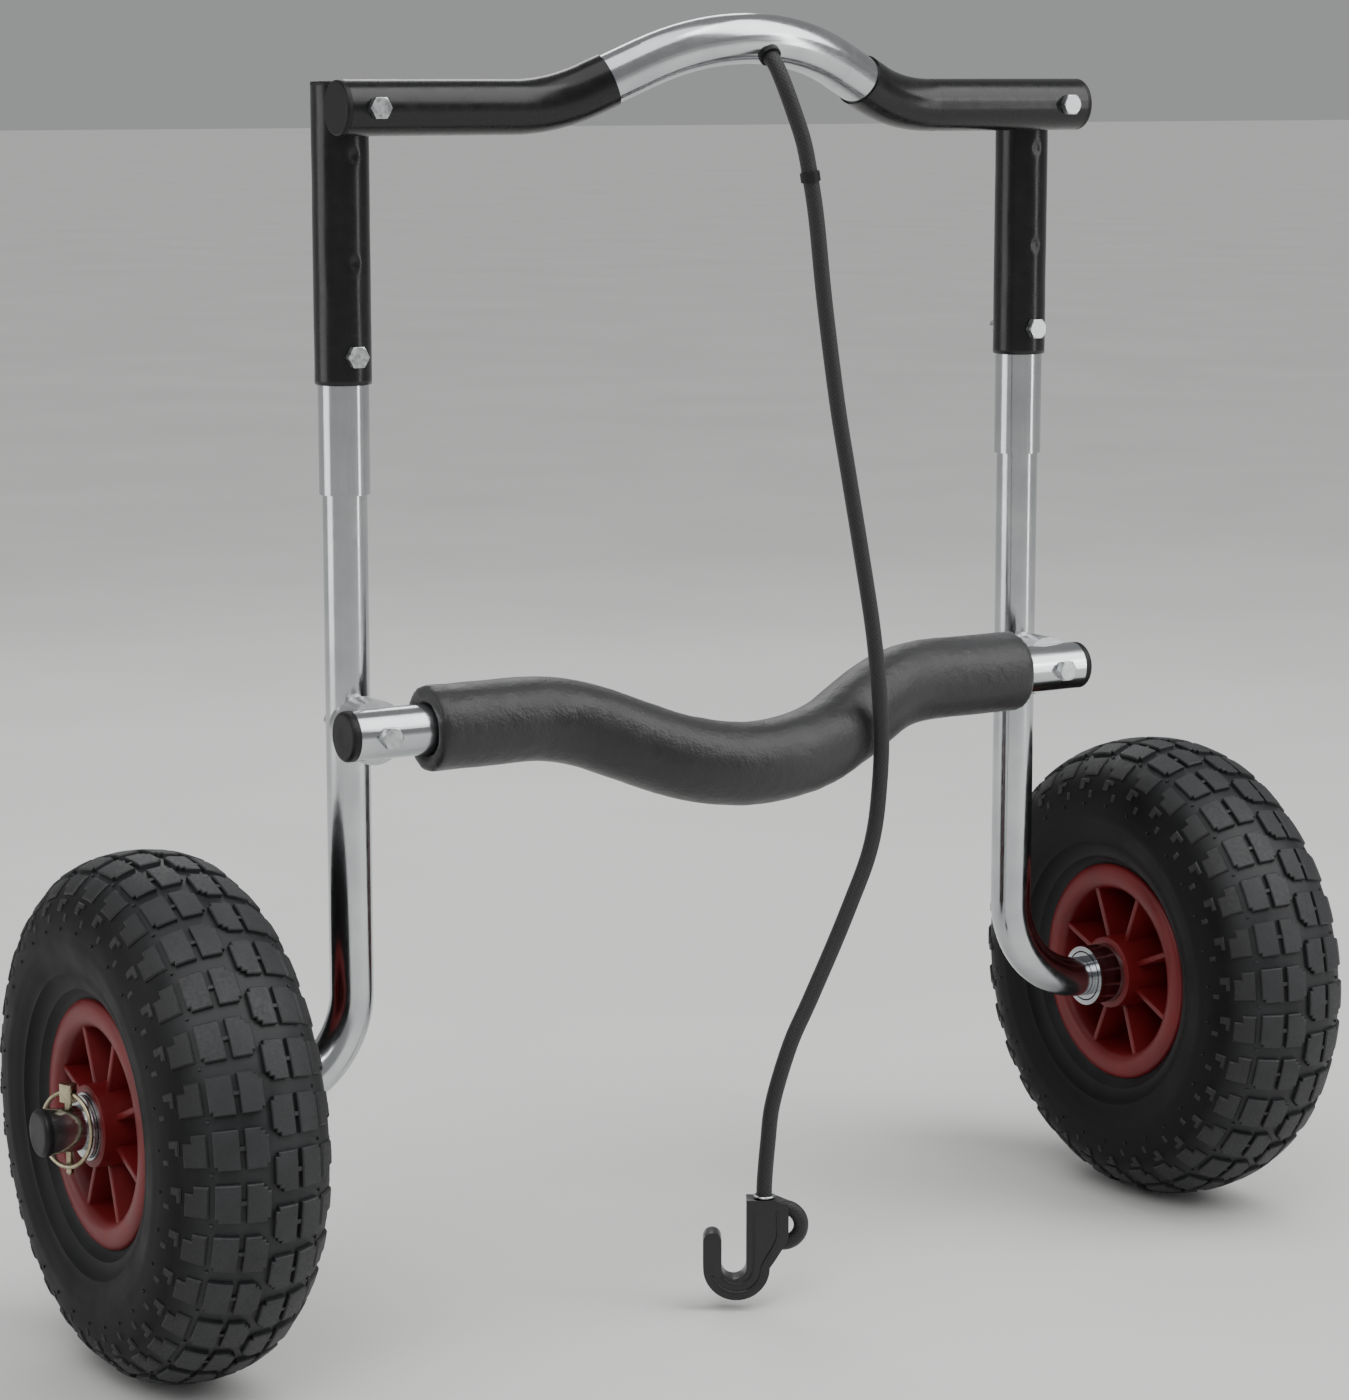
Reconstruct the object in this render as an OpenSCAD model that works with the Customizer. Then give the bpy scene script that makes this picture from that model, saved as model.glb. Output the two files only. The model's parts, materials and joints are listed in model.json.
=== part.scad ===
// Beach cart: two telescoping tube legs with bent-out axles, two bowed crossbars,
// pneumatic wheels held by linch pins, a foam pad and an elastic cord with a hook.
// Origin: on the ground, midway between the wheels, under the axle line. +Z up, -Y front.

/* [Frame] */
// Distance between the axes of the two posts
post_pitch = 406; // [340:1:470]
// Height of the upper crossbar's axis above the ground
upper_bar_z = 614.5; // [600:0.5:660]
// Height of the lower crossbar's axis above the ground
lower_bar_z = 314; // [260:0.5:370]
// Height of the posts' lower ends
post_bottom_z = 428; // [400:1:460]
// Wall of the post tubes
post_wall = 1.4; // [1.2:0.1:2.5]
// Radial gap between a leg and its post
post_slide_gap = 0.1; // [0.05:0.05:0.3]
// Height of the lowest adjusting hole, which holds the bolt
first_hole_z = 495.5; // [493:0.5:505]
// Rise from the first adjusting hole to the second
second_hole_rise = 44.5; // [30:0.5:48]
// Rise from the second adjusting hole to the third
third_hole_rise = 51.5; // [30:0.5:53]

/* [Post covers] */
// Wall of the black sleeves on the posts
post_sleeve_wall = 1.5; // [1:0.1:2.5]
// Height of the sleeves' lower edges
post_sleeve_z = 481.5; // [465:0.5:484]
// Thickness of the plug heads on the posts
post_plug_head = 2; // [1:0.5:4]

/* [Crossbars] */
// Outer diameter of the crossbar tubes
bar_d = 25; // [22:0.5:28]
// Wall of the crossbar tubes
bar_wall = 1.5; // [1:0.1:2.5]
// Angle of each bend
bend_angle = 28; // [15:1:32]
// Centreline radius of the outer bends
outer_bend_r = 85; // [60:1:95]
// Centreline radius of the middle bend
crest_r = 120; // [90:1:130]
// Straight length between an outer bend and the middle bend
slant_len = 30.5; // [14:0.5:34]
// How far the upper bar's bow leans forward from upright
upper_lean = 30; // [0:1:60]
// How far the lower bar's bow leans forward from straight down
lower_lean = 40; // [0:1:60]
// Overhang of the upper bar past the post axes
upper_overhang = 13; // [10:0.5:30]
// Overhang of the lower bar past the leg axes
lower_overhang = 15; // [10:0.5:30]
// Wall of the black sleeves on the upper bar
bar_sleeve_wall = 0.9; // [0.5:0.1:2]
// Length of sleeve along the slanted straight
bar_sleeve_slant = 10.5; // [2:0.5:12]
// Thickness of the cap heads on the upper bar
upper_cap_head = 3; // [2:0.5:6]
// Thickness of the cap heads on the lower bar
lower_cap_head = 4.5; // [2:0.5:6]
// Clear distance between a leg and the lower bar
saddle_len = 9.5; // [6:0.5:16]
// Radius of a saddle where it meets the leg
saddle_leg_r = 13; // [12:0.5:15]
// Radius of a saddle where it meets the bar
saddle_bar_r = 16; // [14.5:0.5:18]

/* [Foam] */
// Outer diameter of the foam
foam_d = 43; // [34:1:44]
// Gap along X between each end of the foam and the saddle beside it
foam_end_gap = 9; // [5:1:25]
// Radial gap between foam and bar
foam_gap = 0.3; // [0.1:0.1:0.5]

/* [Legs and axles] */
// Outer diameter of the leg tubes
leg_d = 22; // [20:0.5:23]
// Wall of the leg tubes
leg_wall = 1.5; // [1.2:0.1:2.5]
// Height of the legs' upper ends inside the posts
leg_top_z = 600; // [598:1:604]
// Centreline radius of the bend from leg to axle
leg_bend_r = 50; // [44:1:52]
// Length of the axle cap's head
axle_cap_head = 4.5; // [3:0.5:6]
// Distance from the linch pin to the outer face of the axle cap
pin_to_end = 16.5; // [14:0.5:17]

/* [Wheels] */
// Outer diameter of the tyre, and twice the height of the axle
tyre_d = 260; // [252:1:320]
// Width of the tyre
tyre_w = 85; // [80:1:90]
// Height of the tyre's section from its bead seats to its crown
tyre_h = 79; // [78:0.5:80]
// Wall of the tyre
tyre_wall = 4.5; // [3:0.5:6]
// Gap between a leg's bend and the stop ring of its wheel
bend_gap = 1.5; // [1:0.5:10]
// Height of the rim's flanges over the bead seats
flange_h = 10.25; // [8:0.25:12]
// Overall width across the flanges
rim_w = 68; // [64:1:70]
// Wall of the rim's barrel
barrel_wall = 3.5; // [3:0.5:5]
// Number of ribs on each side
rib_count = 8; // [6:1:9]
// Thickness of each rib
rib_t = 4.5; // [3:0.5:6]
// Thickness of the rim's middle web
web_t = 5; // [3:0.5:8]
// Length of the hub boss
hub_len = 75; // [70:1:90]
// Wall of the hub boss around its liner
boss_wall = 3.5; // [2.5:0.5:5]

/* [Hub bearings] */
// Diameter of the rollers
roller_d = 2.9; // [2.5:0.1:4]
// Number of rollers in each bearing
roller_count = 12; // [8:1:12]
// Length of each roller
roller_len = 16; // [10:1:18]
// Radial play of the rollers on the axle and in the liner
roller_play = 0.05; // [0.02:0.01:0.1]
// Wall of the steel liner
liner_wall = 2.5; // [1.5:0.5:3]
// Length by which the liner stands out of the inner hub face
liner_reach = 16; // [12:0.5:17]

/* [Linch pins] */
// Diameter of the linch pins
linch_d = 3.6; // [3:0.1:4.5]
// Mean radius of the snap rings
ring_r = 18; // [17.5:0.5:19]
// Wire diameter of the snap rings
ring_wire = 2.2; // [1.6:0.1:2.4]
// Angle by which the rings are turned towards the wheels
ring_turn = 18; // [0:1:19]

/* [Fasteners] */
// Thread diameter of the bolts
bolt_d = 6; // [5:0.5:6.5]
// Width across the flats of bolt heads and nuts
hex_af = 10; // [9:0.5:11]
// Height of the bolt heads
head_h = 4; // [3:0.5:6]
// Height of the lock nuts
nut_h = 5.5; // [4:0.5:7]
// Diameter of the washers
washer_d = 12; // [11:0.5:14]
// Thickness of the washers
washer_t = 1.2; // [0.8:0.1:2]
// Radial clearance of bolts in their holes
bolt_gap = 0.3; // [0.2:0.1:0.5]

/* [Cord and hook] */
// Diameter of the elastic cord
cord_d = 8.2; // [6:0.1:8.4]
// Thickness of the hook
hook_t = 12; // [11:0.5:14]
// Angle by which the hook is turned about its shaft
hook_turn = -31; // [-45:1:-15]

/* [Hidden] */
$fn = 96;

// Which side a mirrored part is on
LEFT = -1;
RIGHT = 1;

// Clearances: parts pushed together by hand, parts that face each other, loose holes
fit_gap = 0.1;
touch_gap = 0.3;
loose_gap = 0.25;
// Extra length of a cutting tool past the wall it cuts
cut = 1;
// How far a bar's straights lap into its bends, and how much thicker they are
lap = 0.5;
lap_step = 0.05;

// Posts and legs
post_top_rise = 10.5;
post_plug_stem = 5;
post_x = post_pitch / 2;
leg_r = leg_d / 2;
leg_bore_r = leg_r - leg_wall;
post_bore_r = leg_r + post_slide_gap;
post_r = post_bore_r + post_wall;
post_sleeve_r = post_r + post_sleeve_wall;
post_top_z = upper_bar_z + post_top_rise;
second_hole_z = first_hole_z + second_hole_rise;
third_hole_z = second_hole_z + third_hole_rise;
axle_z = tyre_d / 2;
bend_top_z = axle_z + leg_bend_r;
bend_end_x = post_x + leg_bend_r;
wheel_x = bend_end_x + bend_gap + liner_reach + hub_len / 2;

// Crossbars: one half of the bent centreline, in the plane of the bow
bar_r = bar_d / 2;
bar_bore_r = bar_r - bar_wall;
bar_sleeve_r = bar_r + bar_sleeve_wall;
crest_half = crest_r * sin(bend_angle);
crest_drop = crest_r * (1 - cos(bend_angle));
slant_run = slant_len * cos(bend_angle);
slant_rise = slant_len * sin(bend_angle);
outer_run = outer_bend_r * sin(bend_angle);
outer_rise = outer_bend_r * (1 - cos(bend_angle));
bow_rise = crest_drop + slant_rise + outer_rise;
bow_half = crest_half + slant_run + outer_run;
upper_bar_y = -(post_sleeve_r + bar_sleeve_r + touch_gap);
lower_bar_y = -(leg_r + saddle_len + bar_r);
upper_bar_half = post_x + upper_overhang;
lower_bar_half = post_x + lower_overhang;
foam_half = post_x - saddle_bar_r - foam_end_gap;

// Saddles: where their backs end beside the leg, how far they wrap the bar, and the
// hollow curve of their flare as a circle beside the spacer
saddle_back_y = leg_r * 0.45;
saddle_reach = leg_r + saddle_len + bar_r * 0.8;
saddle_flare_x = 16;
saddle_flare_r = saddle_flare_x + saddle_bar_r - saddle_leg_r;

// Bolts and nuts: what their heads and washers bear on, and how far threads stand out
upper_head_y = upper_bar_y - bar_sleeve_r - lap_step;
lower_head_y = lower_bar_y - bar_r - lap_step;
upper_seat_y = post_sleeve_r;
lower_seat_y = leg_r;
thread_end = washer_t + nut_h + 1.5;
head_face_r = hex_af * 0.49;
head_slope = 1.8;
nut_hex_h = nut_h * 0.7;
nut_collar_r = hex_af * 0.44;

// Wall of every plug's hollow stem
plug_wall = 2;

// Axle ends, hub and bearings
hub_to_pin = 9.5;
pin_x = wheel_x + hub_len / 2 + hub_to_pin;
axle_end_x = pin_x + pin_to_end - axle_cap_head;
axle_cap_lip = 0.6;
axle_cap_r = leg_r + axle_cap_lip;
axle_cap_stem = 7;
cap_round = 2.5;
liner_bore_r = leg_r + roller_d + 2 * roller_play;
liner_r = liner_bore_r + liner_wall;
boss_r = liner_r + boss_wall;
hub_inner_x = wheel_x - hub_len / 2;
hub_outer_x = wheel_x + hub_len / 2;
liner_inner_x = hub_inner_x - liner_reach;
liner_proud = 1;
liner_outer_x = hub_outer_x + liner_proud;
stop_ring_len = 7;
stop_ring_wall = 2.1;
cage_rim = 2;
cage_len = roller_len + 2 * cage_rim;
cage_wall = 1.6;
cage_end_gap = 1;
roller_ring_r = leg_r + roller_play + roller_d / 2;
cage_starts = [
    liner_inner_x + stop_ring_len + cage_end_gap,
    liner_outer_x - cage_len - cage_end_gap
];
thrust_washer_t = 1.5;
thrust_washer_wall = 4.3;
thrust_gap = 0.4;

// Tyre section
tyre_r = tyre_d / 2;
section_r = tyre_w / 2;
section_mid_r = tyre_r - section_r;
tread_depth = 4;
tread_half = 33;
groove_w = 4;
bead_seat_r = tyre_r - tyre_h;
rim_r = bead_seat_r + flange_h;
rim_half = rim_w / 2;
flange_t = 4;
bead_gap = 0.2;
bead_r = 5;
bead_at = [bead_seat_r + bead_r + 0.5, rim_half - flange_t - bead_r - 0.3];
tread_grooves = [-18, 0, 18];
tube_gap = 0.6;
inner_tube_r = section_r - tyre_wall - tube_gap;
inner_tube_wall = 1.5;
valve_r = 4;
valve_side = web_t / 2 + valve_r + loose_gap;
valve_bore_r = 1.2;
valve_reach = 17;
valve_tip_r = bead_seat_r - valve_reach;
valve_root_r = bead_seat_r + bead_gap + inner_tube_wall;
valve_angle = 360 / rib_count;
valve_cap_r = 3.9;
valve_cap_len = 7;

// Rim
flange_round = flange_t / 2;
barrel_bore_r = bead_seat_r - barrel_wall;
rib_end_gap = 3;
rib_from_r = liner_r + boss_wall / 2;
rib_to_r = bead_seat_r - barrel_wall / 2;

// Linch pins
lug_base_z = axle_z + leg_r + 2.5;
lug_h = 9;
lug_r = 4.2;
lug_size = [6, 8];
ring_top_z = axle_z + ring_r;
pin_tip_z = axle_z - ring_r - 4.5;
pin_point = 1;
ring_hole_r = ring_wire / 2 + 0.65;
// The rings lean outwards so that they pass in front of the pins' tips
ring_lean = asin((linch_d / 2 + ring_wire / 2 + touch_gap) / (2 * ring_r));

// Cord route, from the knot in the upper bar to the hook
cord_r = cord_d / 2;
cord_sides = 10;
cord_steps = 2;
cord_route = [
    [6, -50, 645], [6, -56, 640], [7, -61.5, 634], [9, -65.5, 625], [13, -67.5, 613],
    [19, -68, 597], [23, -68, 580], [27, -68, 558], [32, -68, 518], [40, -68, 467],
    [47, -68.5, 430], [54, -69.5, 392], [60, -71, 356], [63, -72, 331], [65, -72.3, 310],
    [66, -72.3, 290], [65, -72.3, 269], [62.5, -72.3, 248], [57.5, -72.2, 230],
    [48, -72, 209], [38, -71.5, 188], [23, -71, 159], [12, -70.5, 138], [2, -70, 109],
    [-1, -70, 88], [-3, -70, 67], [-3, -70, 55], [-3, -70, 42]
];
collar_at = [23, -68, 580];
collar_below = [27, -68, 558];
collar_len = 5;
collar_wall = 0.9;
knot_at = [6, -47.5, 648];
knot_r = 7.5;
grommet_at = [6, -56, 640];
grommet_inner = [6, -50, 645];
grommet_from = 5;
grommet_to = 10;
grommet_wall = 1.5;

// Hook outline, measured from the top of its cord hole
hook_top = [-3, -70, 59];
hook_left = -9.3;
hook_right = 12.4;
hook_chamfer = [7.4, 3];
hook_heel = [[hook_right, -21], [5.2, -32.5]];
hook_mouth_r = 6.4;
hook_mouth = [hook_left - hook_mouth_r, -35.5];
hook_curve = [-14.4, -36];
hook_curve_r = 17.2;
hook_tip_r = (hook_mouth[0] - hook_mouth_r - hook_curve[0] + hook_curve_r) / 2;
hook_tip = [hook_curve[0] - hook_curve_r + hook_tip_r, -22];
arc_step = 7.5;
cord_hole_r = cord_r + touch_gap;
cord_hole_depth = 20;
loop_at = [9.5, -14.5];
loop_bend_r = 9.5;
loop_r = 3.9;
clip_wire_r = 0.7;
clip_ring_r = cord_r + 0.9;
clip_rise = 1;

// ---- Shared shapes ----

// A tube or rod along Z
module rod(r, z0, z1) {
    translate([0, 0, z0]) cylinder(r = r, h = z1 - z0);
}

// A rod along X
module rod_x(r, x0, x1) {
    translate([x0, 0, 0]) rotate([0, 90, 0]) cylinder(r = r, h = x1 - x0);
}

// A rod along Y
module rod_y(r, y0, y1) {
    translate([0, y0, 0]) rotate([-90, 0, 0]) cylinder(r = r, h = y1 - y0);
}

// A ring-shaped section
module ring_section(r_out, r_in) {
    difference() {
        circle(r = r_out);
        circle(r = r_in);
    }
}

// One side of a bowed rod in the XY plane: from x_end in to the slanted straight, of
// which slant is made. The straights are a hair thicker than the bends and lap into them.
module half_bow(r, x_end, slant) {
    rod_x(r + lap_step, bow_half - lap, x_end);
    translate([bow_half, outer_bend_r, 0]) rotate([0, 0, -90 - bend_angle])
        rotate_extrude(angle = bend_angle) translate([outer_bend_r, 0]) circle(r = r);
    translate([bow_half - outer_run, outer_rise, 0]) rotate([0, 0, -bend_angle])
        rod_x(r + lap_step, -slant, lap);
}

// A whole bowed rod
module full_bow_rod(r, x_end) {
    translate([0, bow_rise - crest_r, 0]) rotate([0, 0, 90 - bend_angle])
        rotate_extrude(angle = 2 * bend_angle) translate([crest_r, 0]) circle(r = r);
    half_bow(r, x_end, slant_len + lap);
    mirror([1, 0, 0]) half_bow(r, x_end, slant_len + lap);
}

// A whole bowed tube
module full_bow(r_out, r_in, x_end) {
    difference() {
        full_bow_rod(r_out, x_end);
        full_bow_rod(r_in, x_end + cut);
    }
}

// Places what is made in the bow's plane as the upper or the lower crossbar
module upper_bar_place() {
    translate([0, upper_bar_y, upper_bar_z]) rotate([90 + upper_lean, 0, 0]) children();
}

module lower_bar_place() {
    translate([0, lower_bar_y, lower_bar_z]) rotate([-90 - lower_lean, 0, 0]) children();
}

// Mirrors a right-hand part for the left side
module on_side(side) {
    if (side == LEFT) mirror([1, 0, 0]) children();
    else children();
}

// A bolt hole along Y at height z on both posts
module bolt_hole(z) {
    translate([post_x, 0, z]) rod_y(bolt_d / 2 + bolt_gap, lower_bar_y - foam_d, foam_d);
}

// A hexagonal prism along Y, from y0 to y1
module hex_y(y0, y1) {
    translate([0, y0, 0]) rotate([-90, 0, 0]) cylinder(d = hex_af / cos(30), h = y1 - y0, $fn = 6);
}

// A hex-headed bolt along Y whose head sits at y_head and whose tip is at y_tip
module bolt(y_head, y_tip) {
    union() {
        intersection() {
            hex_y(y_head - head_h, y_head);
            translate([0, y_head - head_h, 0]) rotate([-90, 0, 0])
                cylinder(r1 = head_face_r, r2 = head_face_r + head_h * head_slope, h = head_h);
        }
        rod_y(bolt_d / 2, y_head, y_tip);
    }
}

// A lock nut along Y: a hexagon with a round collar
module lock_nut(y0) {
    difference() {
        union() {
            hex_y(y0, y0 + nut_hex_h);
            rod_y(nut_collar_r, y0 + nut_hex_h, y0 + nut_h);
        }
        rod_y(bolt_d / 2 + fit_gap, y0 - cut, y0 + nut_h + cut);
    }
}

// Both copies of a fastener at height z
module pair_at(z) {
    for (side = [LEFT, RIGHT]) translate([side * post_x, 0, z]) children();
}

// A plug: a head outside the tube and a stem inside it, along +Z from the tube's end
module plug(head_r, stem_r, head, stem, round_r) {
    rotate_extrude() difference() {
        union() {
            square([head_r, head - round_r]);
            square([head_r - round_r, head]);
            translate([head_r - round_r, head - round_r]) intersection() {
                circle(r = round_r);
                square(round_r);
            }
            translate([0, -stem]) square([stem_r, stem]);
        }
        translate([0, -stem - cut]) square([stem_r - plug_wall, stem + cut]);
    }
}

// ---- Frame ----

module post(side) {
    color("silver") on_side(side) difference() {
        translate([post_x, 0, post_bottom_z]) linear_extrude(post_top_z - post_bottom_z)
            ring_section(post_r, post_bore_r);
        for (z = [first_hole_z, second_hole_z, third_hole_z, upper_bar_z]) bolt_hole(z);
    }
}

module post_sleeve(side) {
    color("black") on_side(side) difference() {
        translate([post_x, 0, post_sleeve_z]) linear_extrude(post_top_z - post_sleeve_z)
            ring_section(post_sleeve_r, post_r + fit_gap / 2);
        for (z = [first_hole_z, upper_bar_z]) bolt_hole(z);
    }
}

// The plug's stem stays above the bolt that holds the upper bar
module post_plug(side) {
    color("black") on_side(side) translate([post_x, 0, post_top_z])
        plug(post_sleeve_r, post_bore_r - fit_gap, post_plug_head, post_plug_stem, 1);
}

module leg(side) {
    color("silver") on_side(side) difference() {
        union() {
            translate([post_x, 0, bend_top_z]) linear_extrude(leg_top_z - bend_top_z)
                ring_section(leg_r, leg_bore_r);
            translate([bend_end_x, 0, bend_top_z]) rotate([90, 0, 0]) rotate([0, 0, 180])
                rotate_extrude(angle = 90) translate([leg_bend_r, 0])
                    ring_section(leg_r, leg_bore_r);
            translate([bend_end_x, 0, axle_z]) rotate([0, 90, 0])
                linear_extrude(axle_end_x - bend_end_x) ring_section(leg_r, leg_bore_r);
        }
        for (z = [first_hole_z, second_hole_z, lower_bar_z]) bolt_hole(z);
        translate([pin_x, 0, axle_z]) rod(linch_d / 2 + loose_gap, -leg_d, leg_d);
    }
}

module axle_cap(side) {
    color("black") on_side(side) translate([axle_end_x, 0, axle_z]) rotate([0, 90, 0])
        plug(axle_cap_r, leg_bore_r - fit_gap, axle_cap_head, axle_cap_stem, cap_round);
}

module stop_ring(side) {
    color("silver") on_side(side) translate([liner_inner_x, 0, axle_z]) rotate([0, 90, 0])
        linear_extrude(stop_ring_len)
            ring_section(leg_r + fit_gap + stop_ring_wall, leg_r + fit_gap);
}

module thrust_washer(side) {
    color("gray") on_side(side) translate([liner_outer_x + thrust_gap, 0, axle_z])
        rotate([0, 90, 0]) linear_extrude(thrust_washer_t)
            ring_section(leg_r + fit_gap + thrust_washer_wall, leg_r + fit_gap);
}

// ---- Crossbars ----

module upper_crossbar() {
    color("silver") difference() {
        upper_bar_place() full_bow(bar_r, bar_bore_r, upper_bar_half);
        for (side = [LEFT, RIGHT]) on_side(side) bolt_hole(upper_bar_z);
        cord_axis_place() rod(cord_r + grommet_wall + fit_gap, 0, grommet_to + cut);
    }
}

// Black sleeve from the end of the upper bar to part of the way up the bow
module bar_sleeve(side) {
    color("black") on_side(side) difference() {
        upper_bar_place() half_bow(bar_sleeve_r, upper_bar_half, bar_sleeve_slant);
        upper_bar_place() half_bow(bar_r + fit_gap / 2, upper_bar_half + cut, bar_sleeve_slant + cut);
        bolt_hole(upper_bar_z);
    }
}

module upper_cap(side) {
    color("black") on_side(side) translate([upper_bar_half, upper_bar_y, upper_bar_z])
        rotate([0, 90, 0])
            plug(bar_sleeve_r, bar_bore_r - fit_gap, upper_cap_head, upper_overhang - bolt_d, 1.5);
}

module lower_crossbar() {
    color("silver") difference() {
        lower_bar_place() full_bow(bar_r, bar_bore_r, lower_bar_half);
        for (side = [LEFT, RIGHT]) on_side(side) bolt_hole(lower_bar_z);
    }
}

module lower_cap(side) {
    color("black") on_side(side) translate([lower_bar_half, lower_bar_y, lower_bar_z])
        rotate([0, 90, 0])
            plug(bar_r, bar_bore_r - fit_gap, lower_cap_head, lower_overhang - bolt_d, 2);
}

module foam_pad() {
    color("dimgray") lower_bar_place() full_bow(foam_d / 2, bar_r + foam_gap, foam_half);
}

// A flared spacer, coped to the leg at the back and to the bar at the front
module saddle(side) {
    color("silver") on_side(side) translate([post_x, 0, lower_bar_z]) difference() {
        rotate([90, 0, 0]) rotate_extrude() difference() {
            square([saddle_bar_r, saddle_reach]);
            translate([saddle_bar_r + saddle_flare_x, saddle_back_y]) circle(r = saddle_flare_r);
            square([bolt_d / 2 + bolt_gap, saddle_reach + cut]);
        }
        rod(leg_r + fit_gap, -leg_d, leg_d);
        translate([0, lower_bar_y, 0]) rod_x(bar_r + fit_gap, -leg_d, leg_d);
        translate([-leg_d, -saddle_back_y, -leg_d]) cube([2 * leg_d, leg_d, 2 * leg_d]);
    }
}

// ---- Bolts, nuts and washers ----

module upper_bar_bolts() {
    color("lightgray") pair_at(upper_bar_z) bolt(upper_head_y, upper_seat_y + thread_end);
}

module lower_bar_bolts() {
    color("lightgray") pair_at(lower_bar_z) bolt(lower_head_y, lower_seat_y + thread_end);
}

module leg_bolts() {
    color("lightgray") pair_at(first_hole_z) bolt(-post_sleeve_r, upper_seat_y + thread_end);
}

module upper_bar_nuts() {
    color("lightgray") pair_at(upper_bar_z) lock_nut(upper_seat_y + washer_t);
}

module lower_bar_nuts() {
    color("lightgray") pair_at(lower_bar_z) lock_nut(lower_seat_y + washer_t);
}

module leg_nuts() {
    color("lightgray") pair_at(first_hole_z) lock_nut(upper_seat_y + washer_t);
}

module washer_y(y0) {
    translate([0, y0, 0]) rotate([-90, 0, 0]) linear_extrude(washer_t)
        ring_section(washer_d / 2, bolt_d / 2 + fit_gap);
}

module nut_washers() {
    color("lightgray") {
        pair_at(upper_bar_z) washer_y(upper_seat_y);
        pair_at(lower_bar_z) washer_y(lower_seat_y);
        pair_at(first_hole_z) washer_y(upper_seat_y);
    }
}

// ---- Wheels ----

// Turns a section in the XY plane (X radius, Y across the wheel) about the wheel's axle
module turned(side) {
    translate([side * wheel_x, 0, axle_z]) rotate([0, 90, 0]) rotate_extrude() children();
}

// The rim's outline that the tyre has to clear
module rim_outline(gap) {
    translate([0, -rim_half - gap]) square([bead_seat_r + gap, rim_w + 2 * gap]);
    for (s = [-1, 1]) translate([0, s * (rim_half - flange_t / 2) - flange_t / 2 - gap])
        square([rim_r + gap, flange_t + 2 * gap]);
}

module tyre(side) {
    color([0.12, 0.12, 0.12]) turned(side) difference() {
        union() {
            translate([section_mid_r, 0]) circle(r = section_r);
            intersection() {
                translate([section_mid_r, -tread_half]) square([section_r, 2 * tread_half]);
                translate([tyre_r - 2 * section_r, 0]) circle(r = 2 * section_r);
            }
            for (s = [-1, 1]) translate([bead_at[0], s * bead_at[1]]) circle(r = bead_r);
        }
        translate([section_mid_r, 0]) circle(r = section_r - tyre_wall);
        rim_outline(bead_gap);
        translate([0, -section_r]) square([bead_seat_r + bead_gap, tyre_w]);
        for (y = tread_grooves) translate([tyre_r - tread_depth, y - groove_w / 2])
            square([tread_depth + cut, groove_w]);
    }
}

// Where the valve leaves the rim, between two ribs and beside the web
module valve_place(side) {
    translate([side * wheel_x + valve_side, 0, axle_z])
        rotate([valve_angle, 0, 0]) children();
}

// The inner tube's section, flat where it lies on the rim, shrunk all round by inset
module tube_section(inset) {
    intersection() {
        translate([section_mid_r, 0]) circle(r = inner_tube_r - inset);
        translate([bead_seat_r + bead_gap + inset, -section_r]) square([section_r * 2, tyre_w]);
    }
}

module inner_tube(side) {
    color([0.1, 0.1, 0.1]) difference() {
        union() {
            turned(side) difference() {
                tube_section(0);
                tube_section(inner_tube_wall);
            }
            valve_place(side) rod(valve_r, valve_tip_r, valve_root_r);
        }
        valve_place(side) rod(valve_bore_r, valve_tip_r - cut, valve_root_r + cut);
    }
}

module valve_cap(side) {
    color([0.1, 0.1, 0.1]) valve_place(side) rotate([180, 0, 0]) translate([0, 0, -valve_tip_r])
        rotate_extrude() union() {
            square([valve_cap_r, valve_cap_len - 1]);
            square([valve_cap_r - 1, valve_cap_len]);
            translate([valve_cap_r - 1, valve_cap_len - 1]) intersection() {
                circle(r = 1);
                square(1);
            }
        }
}

module rim(side) {
    color("firebrick") difference() {
        union() {
            turned(side) {
                translate([barrel_bore_r, -rim_half]) square([barrel_wall, rim_w]);
                for (s = [-1, 1]) translate([0, s * (rim_half - flange_round)]) {
                    translate([barrel_bore_r, -flange_round])
                        square([rim_r - barrel_bore_r - flange_round, flange_t]);
                    translate([rim_r - flange_round, 0]) circle(r = flange_round);
                }
                translate([rib_from_r, -web_t / 2]) square([rib_to_r - rib_from_r, web_t]);
                translate([liner_r + fit_gap / 2, -hub_len / 2])
                    square([boss_wall - fit_gap / 2, hub_len]);
            }
            for (i = [0 : rib_count - 1])
                translate([side * wheel_x, 0, axle_z]) rotate([(i + 0.5) * 360 / rib_count, 0, 0])
                    translate([-rim_half + rib_end_gap, -rib_t / 2, rib_from_r])
                        cube([rim_w - 2 * rib_end_gap, rib_t, rib_to_r - rib_from_r]);
        }
        valve_place(side) rod(valve_r + loose_gap, valve_tip_r, rim_r);
    }
}

module hub_liner(side) {
    color("silver") on_side(side) translate([liner_inner_x, 0, axle_z]) rotate([0, 90, 0])
        linear_extrude(liner_outer_x - liner_inner_x) ring_section(liner_r, liner_bore_r);
}

// Cuts one slot or draws one roller at each place around the axle
module around_axle(x0) {
    for (i = [0 : roller_count - 1])
        translate([x0, 0, axle_z]) rotate([i * 360 / roller_count, 0, 0])
            translate([0, 0, roller_ring_r]) children();
}

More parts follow.
